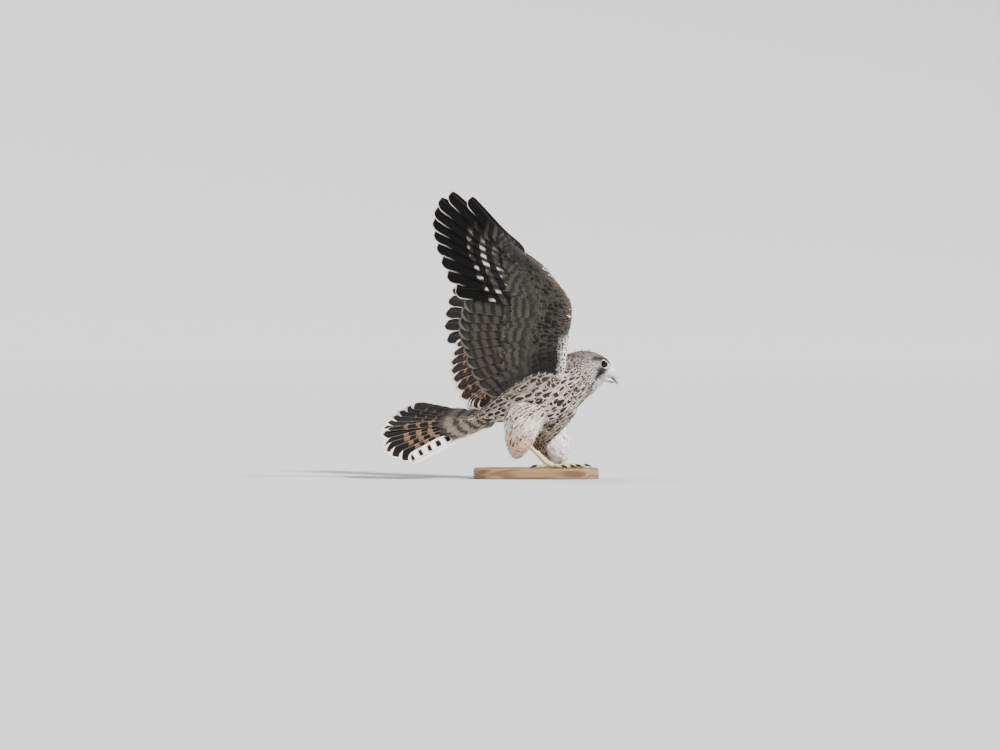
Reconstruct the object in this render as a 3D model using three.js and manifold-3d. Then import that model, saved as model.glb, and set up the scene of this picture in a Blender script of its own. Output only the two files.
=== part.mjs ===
// A young common kestrel as a still, life-size model: it stands on a plain base, leans
// forward, holds its near (right) wing straight up, its far (left) wing out and up, and
// fans its tail. Millimetres, +X towards the bill, +Y to the bird's left, +Z up.
// The origin is the centre of the base's underside.
import * as THREE from 'three';
import { mergeVertices } from 'three/addons/utils/BufferGeometryUtils.js';
import Module from 'manifold-3d';

const wasm = await Module();
wasm.setup();

// Driving dimensions. Heights of the bird are measured from the soles of its feet.
const GAP = 0.3; // between touching pieces
const WELD = 0.002; // step of the grid that the points of a node are put on
const BASE = { length: 150, width: 104, height: 12, corner: 26, bevel: 1.6 };
const SOLE = BASE.height + GAP;
const EYE = { x: 81.8, z: 124.9, out: 11.4, radius: 5.2, opening: 4.0, lid: 0.75 };
const BODY_SIDES = 20;

// Body stations from the rump to the bill: back point (x, z), belly point (x, z), half
// width, and how much narrower the back is than the belly.
const BODY = [
  [-72, 65, -66, 53, 6, 0],
  [-60, 75.5, -50.5, 55, 11, 0],
  [-47, 88, -33.5, 54.5, 20, 0],
  [-32.5, 101, -13, 53, 27, 0],
  [-15.5, 113, 9.5, 53, 32.5, 0],
  [0, 122, 29, 57.5, 34, 0],
  [15.5, 128.5, 47, 71, 32, 0],
  [31, 133, 62, 84.5, 27.5, 0],
  [42, 138, 71, 93, 23.5, -0.03],
  [53, 140.5, 77, 98.5, 21, -0.06],
  [63.5, 140.5, 80.5, 102, 19.5, -0.1],
  [74.5, 138, 83, 104, 17.8, -0.12],
  [84, 132.5, 85, 106, 14, -0.12],
  [89, 127.5, 86.8, 107.6, 8.8, -0.05],
  [91, 123.5, 88.4, 110.5, 4.5, 0],
];
const NECK_STATION = 7.4; // the torso meets the neck here
const HEAD_STATION = 9.3; // the neck meets the head here
// From station, to station and number of steps of the two lofts.
const FRONT = [6.4, BODY.length - 1, 20];
const REAR = [0, 8.4, 13];

const xz = (x, z) => new THREE.Vector3(x, 0, z);
const side = new THREE.Vector3(0, 1, 0);
const lerp = THREE.MathUtils.lerp;
const rad = THREE.MathUtils.degToRad;

// Solids

// A closed body from rings of points, each ring joined to the next, with a flat cap at
// both ends. The winding is turned where it would face inwards.
function loft(rings) {
  const n = rings[0].length;
  const points = rings.flat();
  const faces = [];
  for (let r = 0; r + 1 < rings.length; r++)
    for (let i = 0; i < n; i++) {
      const j = (i + 1) % n;
      const [a, b, c, d] = [r * n + i, r * n + j, (r + 1) * n + j, (r + 1) * n + i];
      faces.push([a, b, c], [a, c, d]);
    }
  for (const end of [0, rings.length - 1])
    for (let i = 1; i + 1 < n; i++) {
      const cap = [end * n, end * n + i, end * n + i + 1];
      faces.push(end === 0 ? cap.reverse() : cap);
    }
  return closedBody(points, faces);
}

function closedBody(points, faces) {
  let volume = 0;
  for (const [a, b, c] of faces)
    volume += points[a].dot(points[b].clone().cross(points[c]));
  const turned = volume < 0 ? faces.map(([a, b, c]) => [a, c, b]) : faces;
  return solidFrom(points.flatMap((p) => [p.x, p.y, p.z]), turned.flat());
}

function solidFrom(positions, indices) {
  const vertProperties = new Float32Array(positions);
  const triVerts = new Uint32Array(indices);
  return new wasm.Manifold(new wasm.Mesh({ numProp: 3, vertProperties, triVerts }));
}

function fuse(solids) {
  return wasm.Manifold.union(solids);
}

// What is left of a node after fusing and cutting: its largest closed surface, with its
// points on a fine grid, so that those that fall together are one.
function largest(solid) {
  const { vertProperties, triVerts, numProp } = solid.getMesh();
  const geometry = new THREE.BufferGeometry();
  const position = Float32Array.from(vertProperties, (v) => Math.round(v / WELD) * WELD);
  geometry.setAttribute('position', new THREE.BufferAttribute(position, numProp));
  geometry.setIndex(new THREE.BufferAttribute(triVerts, 1));
  const merged = mergeVertices(geometry, WELD);
  const bodies = solidFrom(merged.getAttribute('position').array, merged.index.array).decompose();
  return bodies.reduce((a, b) => (a.volume() > b.volume() ? a : b));
}

// Smooth value at station u of a table, by the Catmull-Rom rule through its rows.
function along(table, u) {
  const last = table.length - 1;
  const i = Math.min(Math.floor(u), last - 1);
  const t = u - i;
  const row = (k) => table[THREE.MathUtils.clamp(k, 0, last)];
  return table[i].map((_, k) => {
    const [a, b, c, d] = [row(i - 1)[k], row(i)[k], row(i + 1)[k], row(i + 2)[k]];
    return (
      b +
      0.5 * t * (c - a + t * (2 * a - 5 * b + 4 * c - d + t * (3 * (b - c) + d - a)))
    );
  });
}

const bump = (x, width) => Math.exp(-((x / width) ** 2));

// How far the head stands out of its plain oval: the brow over each eye, and the hollow
// in front of the eye.
function headRelief(u, angle) {
  const a = Math.min(angle, 2 * Math.PI - angle);
  const brow = 1.5 * bump(u - 11.5, 0.8) * bump(a - rad(50), rad(12));
  const lore = -1.2 * bump(u - 12.6, 0.5) * bump(a - rad(80), rad(22));
  const cheek = 0.8 * bump(u - 10.8, 0.9) * bump(a - rad(112), rad(24));
  return brow + lore + cheek;
}

// A point of the body at station u, with the angle counted from the back round the
// bird's right side, and grown outwards by `grow`.
function bodyPoint(u, angle, grow = 0) {
  const [bx, bz, vx, vz, wide, narrow] = along(BODY, u);
  const centre = xz((bx + vx) / 2, (bz + vz) / 2);
  const half = xz((bx - vx) / 2, (bz - vz) / 2);
  const out = grow + headRelief(u, angle);
  const up = Math.cos(angle) * (1 + out / half.length());
  const across = Math.sin(angle) * (wide * (1 + narrow * Math.cos(angle)) + out);
  return centre.addScaledVector(half, up).addScaledVector(side, -across);
}

function bodyLoft(from, to, steps, grow = 0) {
  const rings = [];
  for (let k = 0; k <= steps; k++) {
    const u = lerp(from, to, k / steps);
    const ring = [];
    for (let i = 0; i < BODY_SIDES; i++)
      ring.push(bodyPoint(u, (2 * Math.PI * i) / BODY_SIDES, grow));
    rings.push(ring);
  }
  rings[steps].forEach((p) => p.addScaledVector(stationPlane(to).normal, grow));
  return loft(rings);
}

// The plane of a body station, as a unit vector towards the bill and its distance.
function stationPlane(u) {
  const [bx, bz, vx, vz] = along(BODY, u);
  const normal = xz(bz - vz, vx - bx).normalize();
  return { normal, offset: normal.dot(xz((bx + vx) / 2, (bz + vz) / 2)) };
}

const ahead = (solid, { normal, offset }) =>
  solid.trimByPlane([normal.x, normal.y, normal.z], offset + GAP / 2);
const behind = (solid, { normal, offset }) =>
  solid.trimByPlane([-normal.x, -normal.y, -normal.z], -offset + GAP / 2);

// A round or oval rod along a row of points, given its half sizes across and up at each.
function rod(path, across, upward, sides, grow = 0) {
  const rings = path.map((p, k) => {
    const a = path[Math.max(k - 1, 0)];
    const b = path[Math.min(k + 1, path.length - 1)];
    const along_ = b.clone().sub(a).normalize();
    const level = new THREE.Vector3(-along_.y, along_.x, 0);
    if (level.length() < 0.2) level.copy(side);
    level.normalize();
    const top = along_.clone().cross(level).normalize();
    return Array.from({ length: sides }, (_, i) => {
      const t = (2 * Math.PI * (i + 0.5)) / sides;
      return p
        .clone()
        .addScaledVector(level, Math.cos(t) * (across[k] + grow))
        .addScaledVector(top, Math.sin(t) * (upward[k] + grow));
    });
  });
  return loft(rings);
}

// Feathers

// Where a fan of feathers is one above the other, each vane is tipped about its shaft,
// so that it passes over its neighbour's edge this far, middle to middle.
const LAYER = 0.95;
const VANE = 0.56; // thickness of a vane
const STEEPEST = 0.3;

// One feather as a thin closed vane in the plane of its wing or tail. The plane has
// axes a (the way that the leading side faces) and b (along the feather); `lift` is
// measured square to it. Stations run from root to tip.
function vane(f, place) {
  const shape = f.stations ?? [0.08, 0.36, 0.58, 0.92, 1];
  const rings = shape.map((t) => {
    const w = halfWidth(f, t);
    const tip = Math.min(STEEPEST, LAYER / Math.max(f.pitch(t), 0.5)) * (f.tipped ?? 1);
    const shaft = f.bow * f.length * t * (1 - t);
    const ring = [];
    for (const [v, h] of [[1, 1], [-1, 1], [-1, -1], [1, -1]]) {
      const reach = v > 0 ? w * f.leading : -w * (2 - f.leading);
      const lift = f.lift + tip * reach + (f.arch ?? 0) * t * t + (h * VANE) / 2;
      ring.push(place(f.root, f.angle, f.length * t, shaft + reach, lift));
    }
    return ring;
  });
  return loft(rings);
}

// Half the width of a feather at t of its length: narrow at the quill, full from the
// middle on, and round at the tip.
function halfWidth(f, t) {
  const base = lerp(0.2, 1, THREE.MathUtils.smoothstep(t, 0.1, f.full ?? 0.6));
  const taper = lerp(1, f.taper, THREE.MathUtils.smoothstep(t, 0.35, 0.95));
  const start = 1 - f.roundness;
  const round = t < start ? 1 : Math.sqrt(Math.max(0.06, 1 - ((t - start) / f.roundness) ** 2));
  return (f.width / 2) * base * taper * round;
}

// Wings

// Both wings are laid out in the plane of the near wing: p forward, q up, n out of the
// wing's upper side, from the shoulder joint. WING.far turns and opens the other one.
const SHOULDER = { x: 33.6, y: 21, z: 118.8 };
const WRIST = { p: -1, q: 72 };
// Each feather's angle above the backward line, and its length, from the wrist outwards
// for the primaries and inwards for the others.
const PRIMARIES = [[11.6, 130], [16.6, 139], [20.9, 145], [25, 151], [28.6, 155],
  [31.8, 157], [35.3, 156], [39.3, 153], [44.2, 142], [49.6, 115]];
const SECONDARIES = [[7.8, 119], [4, 119], [0.4, 119], [-3.1, 117], [-7.1, 113],
  [-11.6, 108], [-17.5, 105], [-24.9, 100], [-33, 96], [-40.2, 90]];
const TERTIALS = [[-45, 84], [-43, 73], [-39, 60]];
// How far hand and arm are opened and their fans spread, the lowest angle before that,
// and how each wing is turned and moved.
const WINGS = {
  right: { mirror: 1, hand: 0, fan: 1, arm: 0, armFan: 1, lowest: -50, turn: [8, 0, -8],
    move: [0, 0, 0] },
  left: { mirror: -1, hand: 32.5, fan: 1.59, arm: 33.5, armFan: 1.42, lowest: -24,
    turn: [-55.7, -26, 6.6], move: [-2.3, 0, -2.2] },
};

// The flesh of the wing from the body to the fingertip: leading edge (p, q), rear line
// (p, q), half thickness, and how far it lies towards the body.
const ARM = [
  [-2, -20, -26, -30, 8, 10],
  [2, 0, -34, -16, 8, 0],
  [3.5, 18, -37, 2, 7.2, 0],
  [6, 40, -36, 22, 6.2, 0],
  [9.5, 54, -30, 40, 5.6, 0],
  [11, 68, -23, 54, 5.4, 0],
  [10, 80, -17, 66, 5, 0],
  [3.5, 92, -19, 77, 4.4, 0],
  [-8, 106.5, -27, 90, 3.8, 0],
  [-20, 121, -35, 104, 3.2, 0],
  [-32, 131, -43, 117, 2.6, 0],
  [-44, 139, -52, 131, 1.5, 0],
];
// Share of the chord, and share of the half thickness there.
const AEROFOIL = [[0.07, 0.62], [0.2, 1], [0.45, 0.86], [0.75, 0.52], [1, 0.34]];

// The wing's hollow underside: how far a point lies below the plane of the shoulder.
const camber = (p, q) => -7 * (Math.max(0, 10 - p - 0.25 * q) / 110) ** 2;

// Turns the hand about the wrist, which opens the far wing.
function handPoint(p, q, wing) {
  const c = Math.cos(rad(-wing.hand));
  const s = Math.sin(rad(-wing.hand));
  const [a, b] = [p - WRIST.p, q - WRIST.q];
  return [WRIST.p + c * a - s * b, WRIST.q + s * a + c * b];
}

function wingMatrix(wing) {
  const turn = new THREE.Matrix4();
  const [x, y, z] = wing.turn.map(rad);
  turn.makeRotationFromEuler(new THREE.Euler(x, y, z, 'ZYX'));
  const { x: sx, y: sy, z: sz } = SHOULDER;
  const [mx, my, mz] = wing.move;
  turn.setPosition(sx + mx, -wing.mirror * sy + my, sz + mz + SOLE);
  return turn;
}

const inWing = (wing, matrix) => (p, q, n) =>
  new THREE.Vector3(p, wing.mirror * (n + camber(p, q)), q).applyMatrix4(matrix);

function armLoft(wing, put) {
  const sections = ARM.map(([lp, lq, tp, tq, thick, inward], k) => {
    const opened = k > 6;
    const half = k === 6 ? 0.5 : 0;
    const [a, b] = [[lp, lq], [tp, tq]].map(([p, q]) => {
      if (!opened && !half) return [p, q];
      const [hp, hq] = handPoint(p, q, wing);
      return opened ? [hp, hq] : [(p + hp) / 2, (q + hq) / 2];
    });
    const at = (c, n) => put(lerp(a[0], b[0], c), lerp(a[1], b[1], c), n + inward);
    const upper = AEROFOIL.map(([c, h]) => at(c, h * thick));
    const lower = AEROFOIL.map(([c, h]) => at(c, -h * thick)).reverse();
    return [at(0, 0), ...upper, ...lower];
  });
  return loft(sections);
}

// The fans of a wing. A feather has its root and angle, how far it lies from its
// neighbour at t of its length, its length, width, share of the width on the leading
// side, narrowing to the tip, roundness of the tip, and bow.
function wingFeathers(wing) {
  const spread = (angle, first, opened, fan) =>
    first + opened + (Math.max(angle, wing.lowest) - first) * fan;
  const hand = PRIMARIES.map(([angle, length], i) => {
    const share = i / (PRIMARIES.length - 1);
    return {
      kind: 'primary', root: handPoint(lerp(-1, -34, share), lerp(74, 121, share), wing),
      angle: spread(angle, PRIMARIES[0][0], wing.hand, wing.fan), length,
      pitch: (t) => lerp(4.4, 1.2, share) + length * t * rad(4.2 * wing.fan),
      width: lerp(21, 16, share), leading: lerp(0.75, 0.42, share),
      taper: lerp(0.84, 0.6, share), roundness: 0.16, bow: lerp(0.1, 0, share), lift: 0,
    };
  });
  const arm = SECONDARIES.map(([angle, length], i) => {
    const share = i / (SECONDARIES.length - 1);
    return {
      kind: 'secondary', root: [lerp(-1, -25, share), lerp(66, 29, share)],
      angle: spread(angle, SECONDARIES[0][0], wing.arm, wing.armFan), length,
      pitch: (t) => 3.8 + length * t * rad(5.2 * wing.armFan),
      width: 23, leading: 0.85, taper: 0.92, roundness: 0.14, bow: 0.06, lift: 0,
    };
  });
  TERTIALS.forEach(([angle, length], i) =>
    arm.push({
      kind: 'tertial', root: [-25 + 2 * i, 23 - 6 * i], length,
      angle: spread(angle, SECONDARIES[0][0], wing.arm, wing.armFan) - 3 * i, pitch: () => 5,
      width: 24, leading: 1, taper: 0.95, roundness: 0.3, bow: 0, lift: 0,
    }),
  );
  return { hand, arm };
}

// A covert lies on each flight feather, above or below the fan, clear of the feathers
// that overlap there.
function covertOf(f, share, sign) {
  return {
    ...f, length: f.length * share, width: f.width * 0.96, taper: 1, roundness: 0.34,
    lift: sign * 3 * LAYER, stations: [0.1, 0.75, 1], bow: f.bow * (1 - share), full: 0.4,
    pitch: (t) => f.pitch(t * share),
  };
}

function wingVane(f, put) {
  const place = ([p, q], angle, run, across, lift) => {
    const [c, s] = [Math.cos(rad(angle)), Math.sin(rad(angle))];
    return put(p - c * run + s * across, q + s * run + c * across, lift);
  };
  return vane(f, place);
}

function wingSolids(wing, bodyGrown) {
  const put = inWing(wing, wingMatrix(wing));
  const rows = wingFeathers(wing);
  const pieces = [armLoft(wing, put)];
  for (const f of [...rows.hand, ...rows.arm]) {
    pieces.push(wingVane(f, put));
    if (f.kind === 'tertial') continue;
    const share = f.kind === 'primary' ? 0.36 : 0.46;
    for (const sign of [1, -1]) pieces.push(wingVane(covertOf(f, share, sign), put));
  }
  const whole = fuse(pieces).subtract(bodyGrown);
  // The cut between arm and hand runs from the wrist, between the two fans.
  const between = rad((7 + wing.arm + 11.5 + wing.hand) / 2);
  const wrist = put(-1, 70, 0);
  const backward = put(-1 - 50 * Math.cos(between), 70 + 50 * Math.sin(between), 0);
  const outward = put(-1, 70, 10).sub(wrist);
  const normal = backward.sub(wrist).cross(outward).normalize();
  if (normal.dot(put(-30, 110, 0).sub(wrist)) < 0) normal.negate();
  const plane = { normal, offset: normal.dot(wrist) };
  return { hand: largest(ahead(whole, plane)), arm: largest(behind(whole, plane)) };
}

// Tail

// Twelve feathers in a fan, from the left edge to the right edge: angle from the
// tail's middle and length. The left half lies flatter than the right one.
const TAIL = {
  root: xz(-57.6, 58.8), back: new THREE.Vector3(-0.995, 0, -0.1), leftRoll: 28, rightRoll: 38,
  angles: [33.5, 28, 21.5, 15, 9, 3, -3, -12, -16, -21, -27, -32.5],
  lengths: [108, 113, 118, 122, 126, 129, 130, 130, 130, 126, 118, 110],
  width: 22,
};

function tailVane(f, hand) {
  const roll = rad(hand > 0 ? TAIL.leftRoll : TAIL.rightRoll);
  const across = new THREE.Vector3(0, Math.cos(roll) * hand, Math.sin(roll) * hand);
  const up = new THREE.Vector3(0, -Math.sin(roll), Math.cos(roll));
  const place = (root, angle, run, sideways, lift) => {
    const [c, s] = [Math.cos(rad(angle)), Math.sin(rad(angle))];
    return TAIL.root.clone()
      .addScaledVector(TAIL.back, c * run - s * sideways)
      .addScaledVector(across, s * run + c * sideways + root)
      .addScaledVector(up, lift)
      .add(xz(0, SOLE));
  };
  return vane(f, place);
}

function tailSolid(bodyWhole) {
  const pieces = [];
  TAIL.angles.forEach((angle, i) => {
    const hand = angle > 0 ? 1 : -1;
    const place = hand > 0 ? 5 - i : i - 6; // 0 beside the middle, 5 at the edge
    const feather = {
      root: 0.8 + 1.1 * place, angle: Math.abs(angle), length: TAIL.lengths[i],
      width: TAIL.width, leading: lerp(1, 0.5, place / 5), taper: 1, roundness: 0.13, bow: 0,
      arch: -2, lift: -0.35 * place, tipped: -1,
      pitch: (t) => 1.2 + TAIL.lengths[i] * t * rad(7),
    };
    pieces.push(tailVane(feather, hand));
    if (place % 2) return;
    const lying = { ...feather, stations: [0.05, 0.75, 1], roundness: 0.4, width: 20, leading: 1 };
    pieces.push(tailVane({ ...lying, length: 58 - 3 * place, lift: 3.4 - 0.3 * place }, hand));
    pieces.push(tailVane({ ...lying, length: 62 - 4 * place, lift: -4 - 0.2 * place }, hand));
  });
  return largest(behind(fuse([...pieces, bodyWhole]), stationPlaneLifted(1.1)));
}

// Legs

// Thighs, with their long loose feathers, as level slices: height, rear x, front x,
// half width and side offset.
const THIGHS = {
  right: [
    [88, -16, 20, 10, 15], [76, -33, 18, 14, 19], [66, -37, 14.5, 16, 21], [56, -37.8, 10, 16.5, 21],
    [45, -37, 4, 15.5, 20.5], [34, -35.5, -2.5, 13, 19.5], [23, -32.5, -8.5, 9.5, 18.5],
    [15, -29, -15.5, 5.5, 18], [12, -26, -20, 2, 18],
  ],
  left: [
    [88, 6, 40, 10, 14], [76, 1, 43, 14, 18], [66, -2, 41, 16, 20], [54, -3, 38.5, 16.5, 20],
    [42, -1.5, 38, 15.5, 19.5], [30, 2, 38.8, 13, 18.5], [19, 9, 39.4, 10, 18],
    [10.5, 15.5, 37.5, 6.5, 18], [6.5, 20, 33, 3, 18],
  ],
};
const LEGS = {
  right: { sign: -1, heel: [-14, 33], ankle: [13.2, 5.2], y: 17.5, turn: 4 },
  left: { sign: 1, heel: [17, 30], ankle: [31.2, 5.2], y: 17.5, turn: -4 },
};
// Toes: name, angle from straight ahead towards the outside, length, thickness.
const TOES = [
  ['inner', -24, 20, 2.5], ['middle', 4, 28, 2.5], ['outer', 34, 21, 2.4], ['hind', 176, 13, 2.4],
];
const CLAW = { length: 10, radius: 1.5 };

function thighLoft(slices, sign, grow = 0) {
  const sides = 14;
  const rings = slices.map(([z, rear, front, half, offset]) =>
    Array.from({ length: sides }, (_, i) => {
      const t = (2 * Math.PI * i) / sides;
      return new THREE.Vector3(
        (rear + front) / 2 + Math.cos(t) * ((front - rear) / 2 + grow),
        sign * offset + Math.sin(t) * (half + grow),
        z + SOLE,
      );
    }),
  );
  if (grow) {
    rings[0].forEach((p) => (p.z += grow));
    rings[rings.length - 1].forEach((p) => (p.z -= grow));
  }
  return loft(rings);
}

function tarsusRod(leg, grow = 0) {
  const path = [0, 0.2, 0.55, 0.85, 1].map(
    (t) =>
      new THREE.Vector3(
        lerp(leg.heel[0], leg.ankle[0], t),
        leg.sign * leg.y,
        lerp(leg.heel[1], leg.ankle[1], t) + SOLE,
      ),
  );
  const across = [2.6, 2.3, 2.1, 2.5, 2.9];
  const deep = [3, 2.6, 2.3, 2.7, 3];
  return rod(path, across, deep, 8, grow);
}

// A toe runs from the ankle out and down, arches over its joints and ends at its claw.
function toePath(leg, [, angle, length, thick]) {
  const heading = rad(leg.turn + leg.sign * angle);
  const heights = [4.6, 3.6, 2.4, 2.9, 2.0, 2.2];
  const runs = [0, 0.18, 0.42, 0.62, 0.84, 1];
  const path = runs.map(
    (t, k) =>
      new THREE.Vector3(
        leg.ankle[0] + Math.cos(heading) * length * t,
        leg.sign * leg.y + Math.sin(heading) * length * t,
        heights[k] + SOLE,
      ),
  );
  const sizes = [1.05, 1, 0.86, 0.92, 0.76, 0.6].map((s) => s * thick);
  return { path, sizes, heading };
}

function footParts(name, leg, tarsus) {
  const floor = { normal: new THREE.Vector3(0, 0, 1), offset: SOLE - GAP / 2 };
  const toes = TOES.map((toe) => ({ toe, ...toePath(leg, toe) }));
  const solid = (t, grow) => rod(t.path, t.sizes, t.sizes, 7, grow);
  const foot = fuse(toes.map((t) => solid(t, 0)));
  const parts = { [`foot_${name}`]: largest(ahead(foot, floor).subtract(tarsus)) };
  for (const t of toes) {
    const tip = t.path[t.path.length - 1];
    const forward = new THREE.Vector3(Math.cos(t.heading), Math.sin(t.heading), 0);
    const arc = [-0.12, 0.25, 0.6, 1].map((s) => {
      const a = s * rad(88);
      const reach = CLAW.length / rad(88);
      return tip.clone().addScaledVector(forward, Math.sin(a) * reach * 1.12)
        .add(xz(0, 0.9 - (1 - Math.cos(a)) * 3.1));
    });
    const radii = [1, 0.9, 0.6, 0.16].map((s) => s * CLAW.radius);
    const claw = rod(arc, radii.map((r) => r * 0.8), radii, 5);
    const trimmed = ahead(claw, floor).subtract(solid(t, GAP));
    parts[`claw_${name}_${t.toe[0]}`] = largest(trimmed);
  }
  return parts;
}

// Head: bill, cere and eyes

// Upper bill and cere, then the lower bill: top point, bottom point and half width.
const UPPER_BILL = [
  [84, 129.5, 81, 110.2, 6.6], [89.5, 126, 85.6, 109.7, 6], [92.6, 121.8, 88, 109.2, 5.2],
  [94.8, 117.8, 90.2, 108.2, 4.5], [96.7, 113.8, 92.4, 106.6, 3.6], [98.2, 109.6, 94.2, 104.8, 2.7],
  [98.9, 105.6, 95.9, 103, 1.8], [98.6, 102.4, 96.9, 101.2, 1.05], [97.7, 99.5, 97.2, 99.3, 0.35],
];
const LOWER_BILL = [
  [80, 109.6, 79.5, 103, 5.6], [85.2, 109.2, 84.8, 102.8, 5], [89, 108, 88, 102.6, 3.9],
  [92.2, 105.9, 91, 102.2, 2.6], [94.1, 104, 93.2, 102, 1.6], [95.2, 102.6, 95, 102.1, 0.5],
];
const CERE_STATION = 3.1;
const NOSTRIL = { x: 91.4, z: 117.2, radius: 1, deep: 1.3 };

function billLoft(table, steps, sides) {
  const rings = [];
  for (let k = 0; k <= steps; k++) {
    const [tx, tz, bx, bz, wide] = along(table, ((table.length - 1) * k) / steps);
    rings.push(
      Array.from({ length: sides }, (_, i) => {
        const a = (2 * Math.PI * i) / sides;
        const c = Math.cos(a);
        return new THREE.Vector3(
          (tx + bx) / 2 + (c * (tx - bx)) / 2,
          -Math.sin(a) * wide * (1 - 0.22 * c),
          (tz + bz) / 2 + (c * (tz - bz)) / 2 + SOLE,
        );
      }),
    );
  }
  return loft(rings);
}

function billPlane(table, u) {
  const [tx, tz, bx, bz] = along(table, u);
  const normal = xz(tz - bz, bx - tx).normalize();
  return { normal, offset: normal.dot(xz((tx + bx) / 2, (tz + bz) / 2 + SOLE)) };
}

function ball(x, y, z, radius) {
  const sphere = new THREE.SphereGeometry(radius, 16, 8);
  sphere.rotateX(Math.PI / 2).translate(x, y, z + SOLE);
  return fromGeometry(sphere);
}

// A three.js geometry as a solid: doubled points are merged and empty faces dropped.
function fromGeometry(geometry) {
  const position = geometry.getAttribute('position');
  const index = geometry.index
    ? geometry.index.array
    : Array.from({ length: position.count }, (_, i) => i);
  const points = [];
  const known = new Map();
  const at = Array.from({ length: position.count }, (_, i) => {
    const p = new THREE.Vector3().fromBufferAttribute(position, i);
    const key = [p.x, p.y, p.z].map((v) => Math.round(v * 1e4)).join();
    if (!known.has(key)) known.set(key, points.push(p) - 1);
    return known.get(key);
  });
  const faces = [];
  for (let i = 0; i < index.length; i += 3) {
    const [a, b, c] = [at[index[i]], at[index[i + 1]], at[index[i + 2]]];
    if (a !== b && b !== c && c !== a) faces.push([a, b, c]);
  }
  return closedBody(points, faces);
}

function lidRing(sign) {
  const ring = new THREE.TorusGeometry(EYE.opening + EYE.lid * 0.8, EYE.lid, 5, 18);
  const depth = EYE.out + Math.sqrt(EYE.radius ** 2 - EYE.opening ** 2) + 0.1;
  ring.rotateX(Math.PI / 2).translate(EYE.x, sign * depth, EYE.z + SOLE);
  return fromGeometry(ring);
}

function headParts(whole) {
  const grown = bodyLift(...FRONT, GAP);
  const upper = billLoft(UPPER_BILL, 11, 12).subtract(grown);
  const lower = billLoft(LOWER_BILL, 6, 10).subtract(grown);
  const nostrils = [-1, 1].map((sign) => {
    const hole = new THREE.CylinderGeometry(NOSTRIL.radius, NOSTRIL.radius, 6, 12);
    hole.translate(NOSTRIL.x, sign * (5.1 - NOSTRIL.deep + 3), NOSTRIL.z + SOLE);
    return fromGeometry(hole);
  });
  const cerePlane = billPlane(UPPER_BILL, CERE_STATION);
  const lids = [-1, 1].map(lidRing);
  const sockets = [-1, 1].map((sign) =>
    ball(EYE.x, sign * EYE.out, EYE.z, EYE.radius + GAP),
  );
  return {
    head: largest(fuse([whole, ...lids]).subtract(fuse(sockets))),
    eye_right: ball(EYE.x, -EYE.out, EYE.z, EYE.radius),
    eye_left: ball(EYE.x, EYE.out, EYE.z, EYE.radius),
    cere: largest(behind(upper, cerePlane).subtract(fuse(nostrils))),
    beak_upper: largest(ahead(upper, cerePlane)),
    beak_lower: largest(lower),
  };
}

// Assembly

function bodyLift(from, to, steps, grow = 0) {
  return bodyLoft(from, to, steps, grow).translate([0, 0, SOLE]);
}

function stationPlaneLifted(u) {
  const { normal, offset } = stationPlane(u);
  return { normal, offset: offset + normal.z * SOLE };
}

function standBase() {
  const { length, width, height, corner, bevel } = BASE;
  const [l, w] = [length / 2 - bevel, width / 2 - bevel];
  const outline = new THREE.Shape();
  outline.moveTo(-l + corner, -w);
  outline.lineTo(l - corner, -w);
  outline.absarc(l - corner, -w + corner, corner, -Math.PI / 2, 0);
  outline.absarc(l - corner, w - corner, corner, 0, Math.PI / 2);
  outline.absarc(-l + corner, w - corner, corner, Math.PI / 2, Math.PI);
  outline.absarc(-l + corner, -w + corner, corner, Math.PI, 1.5 * Math.PI);
  const plate = new THREE.ExtrudeGeometry(outline, {
    depth: height - 2 * bevel, curveSegments: 4, bevelThickness: bevel, bevelSize: bevel,
    bevelSegments: 1,
  });
  return fromGeometry(plate.translate(0, 0, bevel));
}

const headPlane = stationPlaneLifted(HEAD_STATION);
const neckPlane = stationPlaneLifted(NECK_STATION);
const tailPlane = stationPlaneLifted(1.1);
const rear = bodyLift(...REAR);
const bodyGrown = bodyLift(...REAR, GAP);

const front = bodyLift(...FRONT);
const solids = headParts(ahead(front, headPlane));
solids.neck = largest(ahead(behind(front, headPlane), neckPlane));
solids.torso = largest(ahead(behind(rear, neckPlane), tailPlane));
solids.tail = tailSolid(bodyLift(0, 2, 5));
for (const [name, wing] of Object.entries(WINGS)) {
  const { hand, arm } = wingSolids(wing, bodyGrown);
  solids[`wing_${name}_hand`] = hand;
  solids[`wing_${name}_arm`] = arm;
}
for (const [name, leg] of Object.entries(LEGS)) {
  const thigh = thighLoft(THIGHS[name], leg.sign);
  solids[`thigh_${name}`] = largest(thigh.subtract(bodyGrown));
  const grownThigh = thighLoft(THIGHS[name], leg.sign, GAP);
  solids[`tarsus_${name}`] = largest(tarsusRod(leg).subtract(grownThigh));
  Object.assign(solids, footParts(name, leg, tarsusRod(leg, GAP)));
}
solids.stand_base = standBase();

const COLOURS = {
  head: 0x9c8a78, neck: 0xa8937d, torso: 0xc9b79e, tail: 0x7a5237, wing: 0x6f5a48,
  thigh: 0xdcc4a4, tarsus: 0xd9c774, foot: 0xd9c774, claw: 0x1d1c1c, eye: 0x120c09,
  cere: 0xb9c49a, beak: 0x8e9aa3, stand: 0x5a4632,
};
const POLISHED = { eye: 0.08, claw: 0.35, beak: 0.35, cere: 0.5 };

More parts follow.
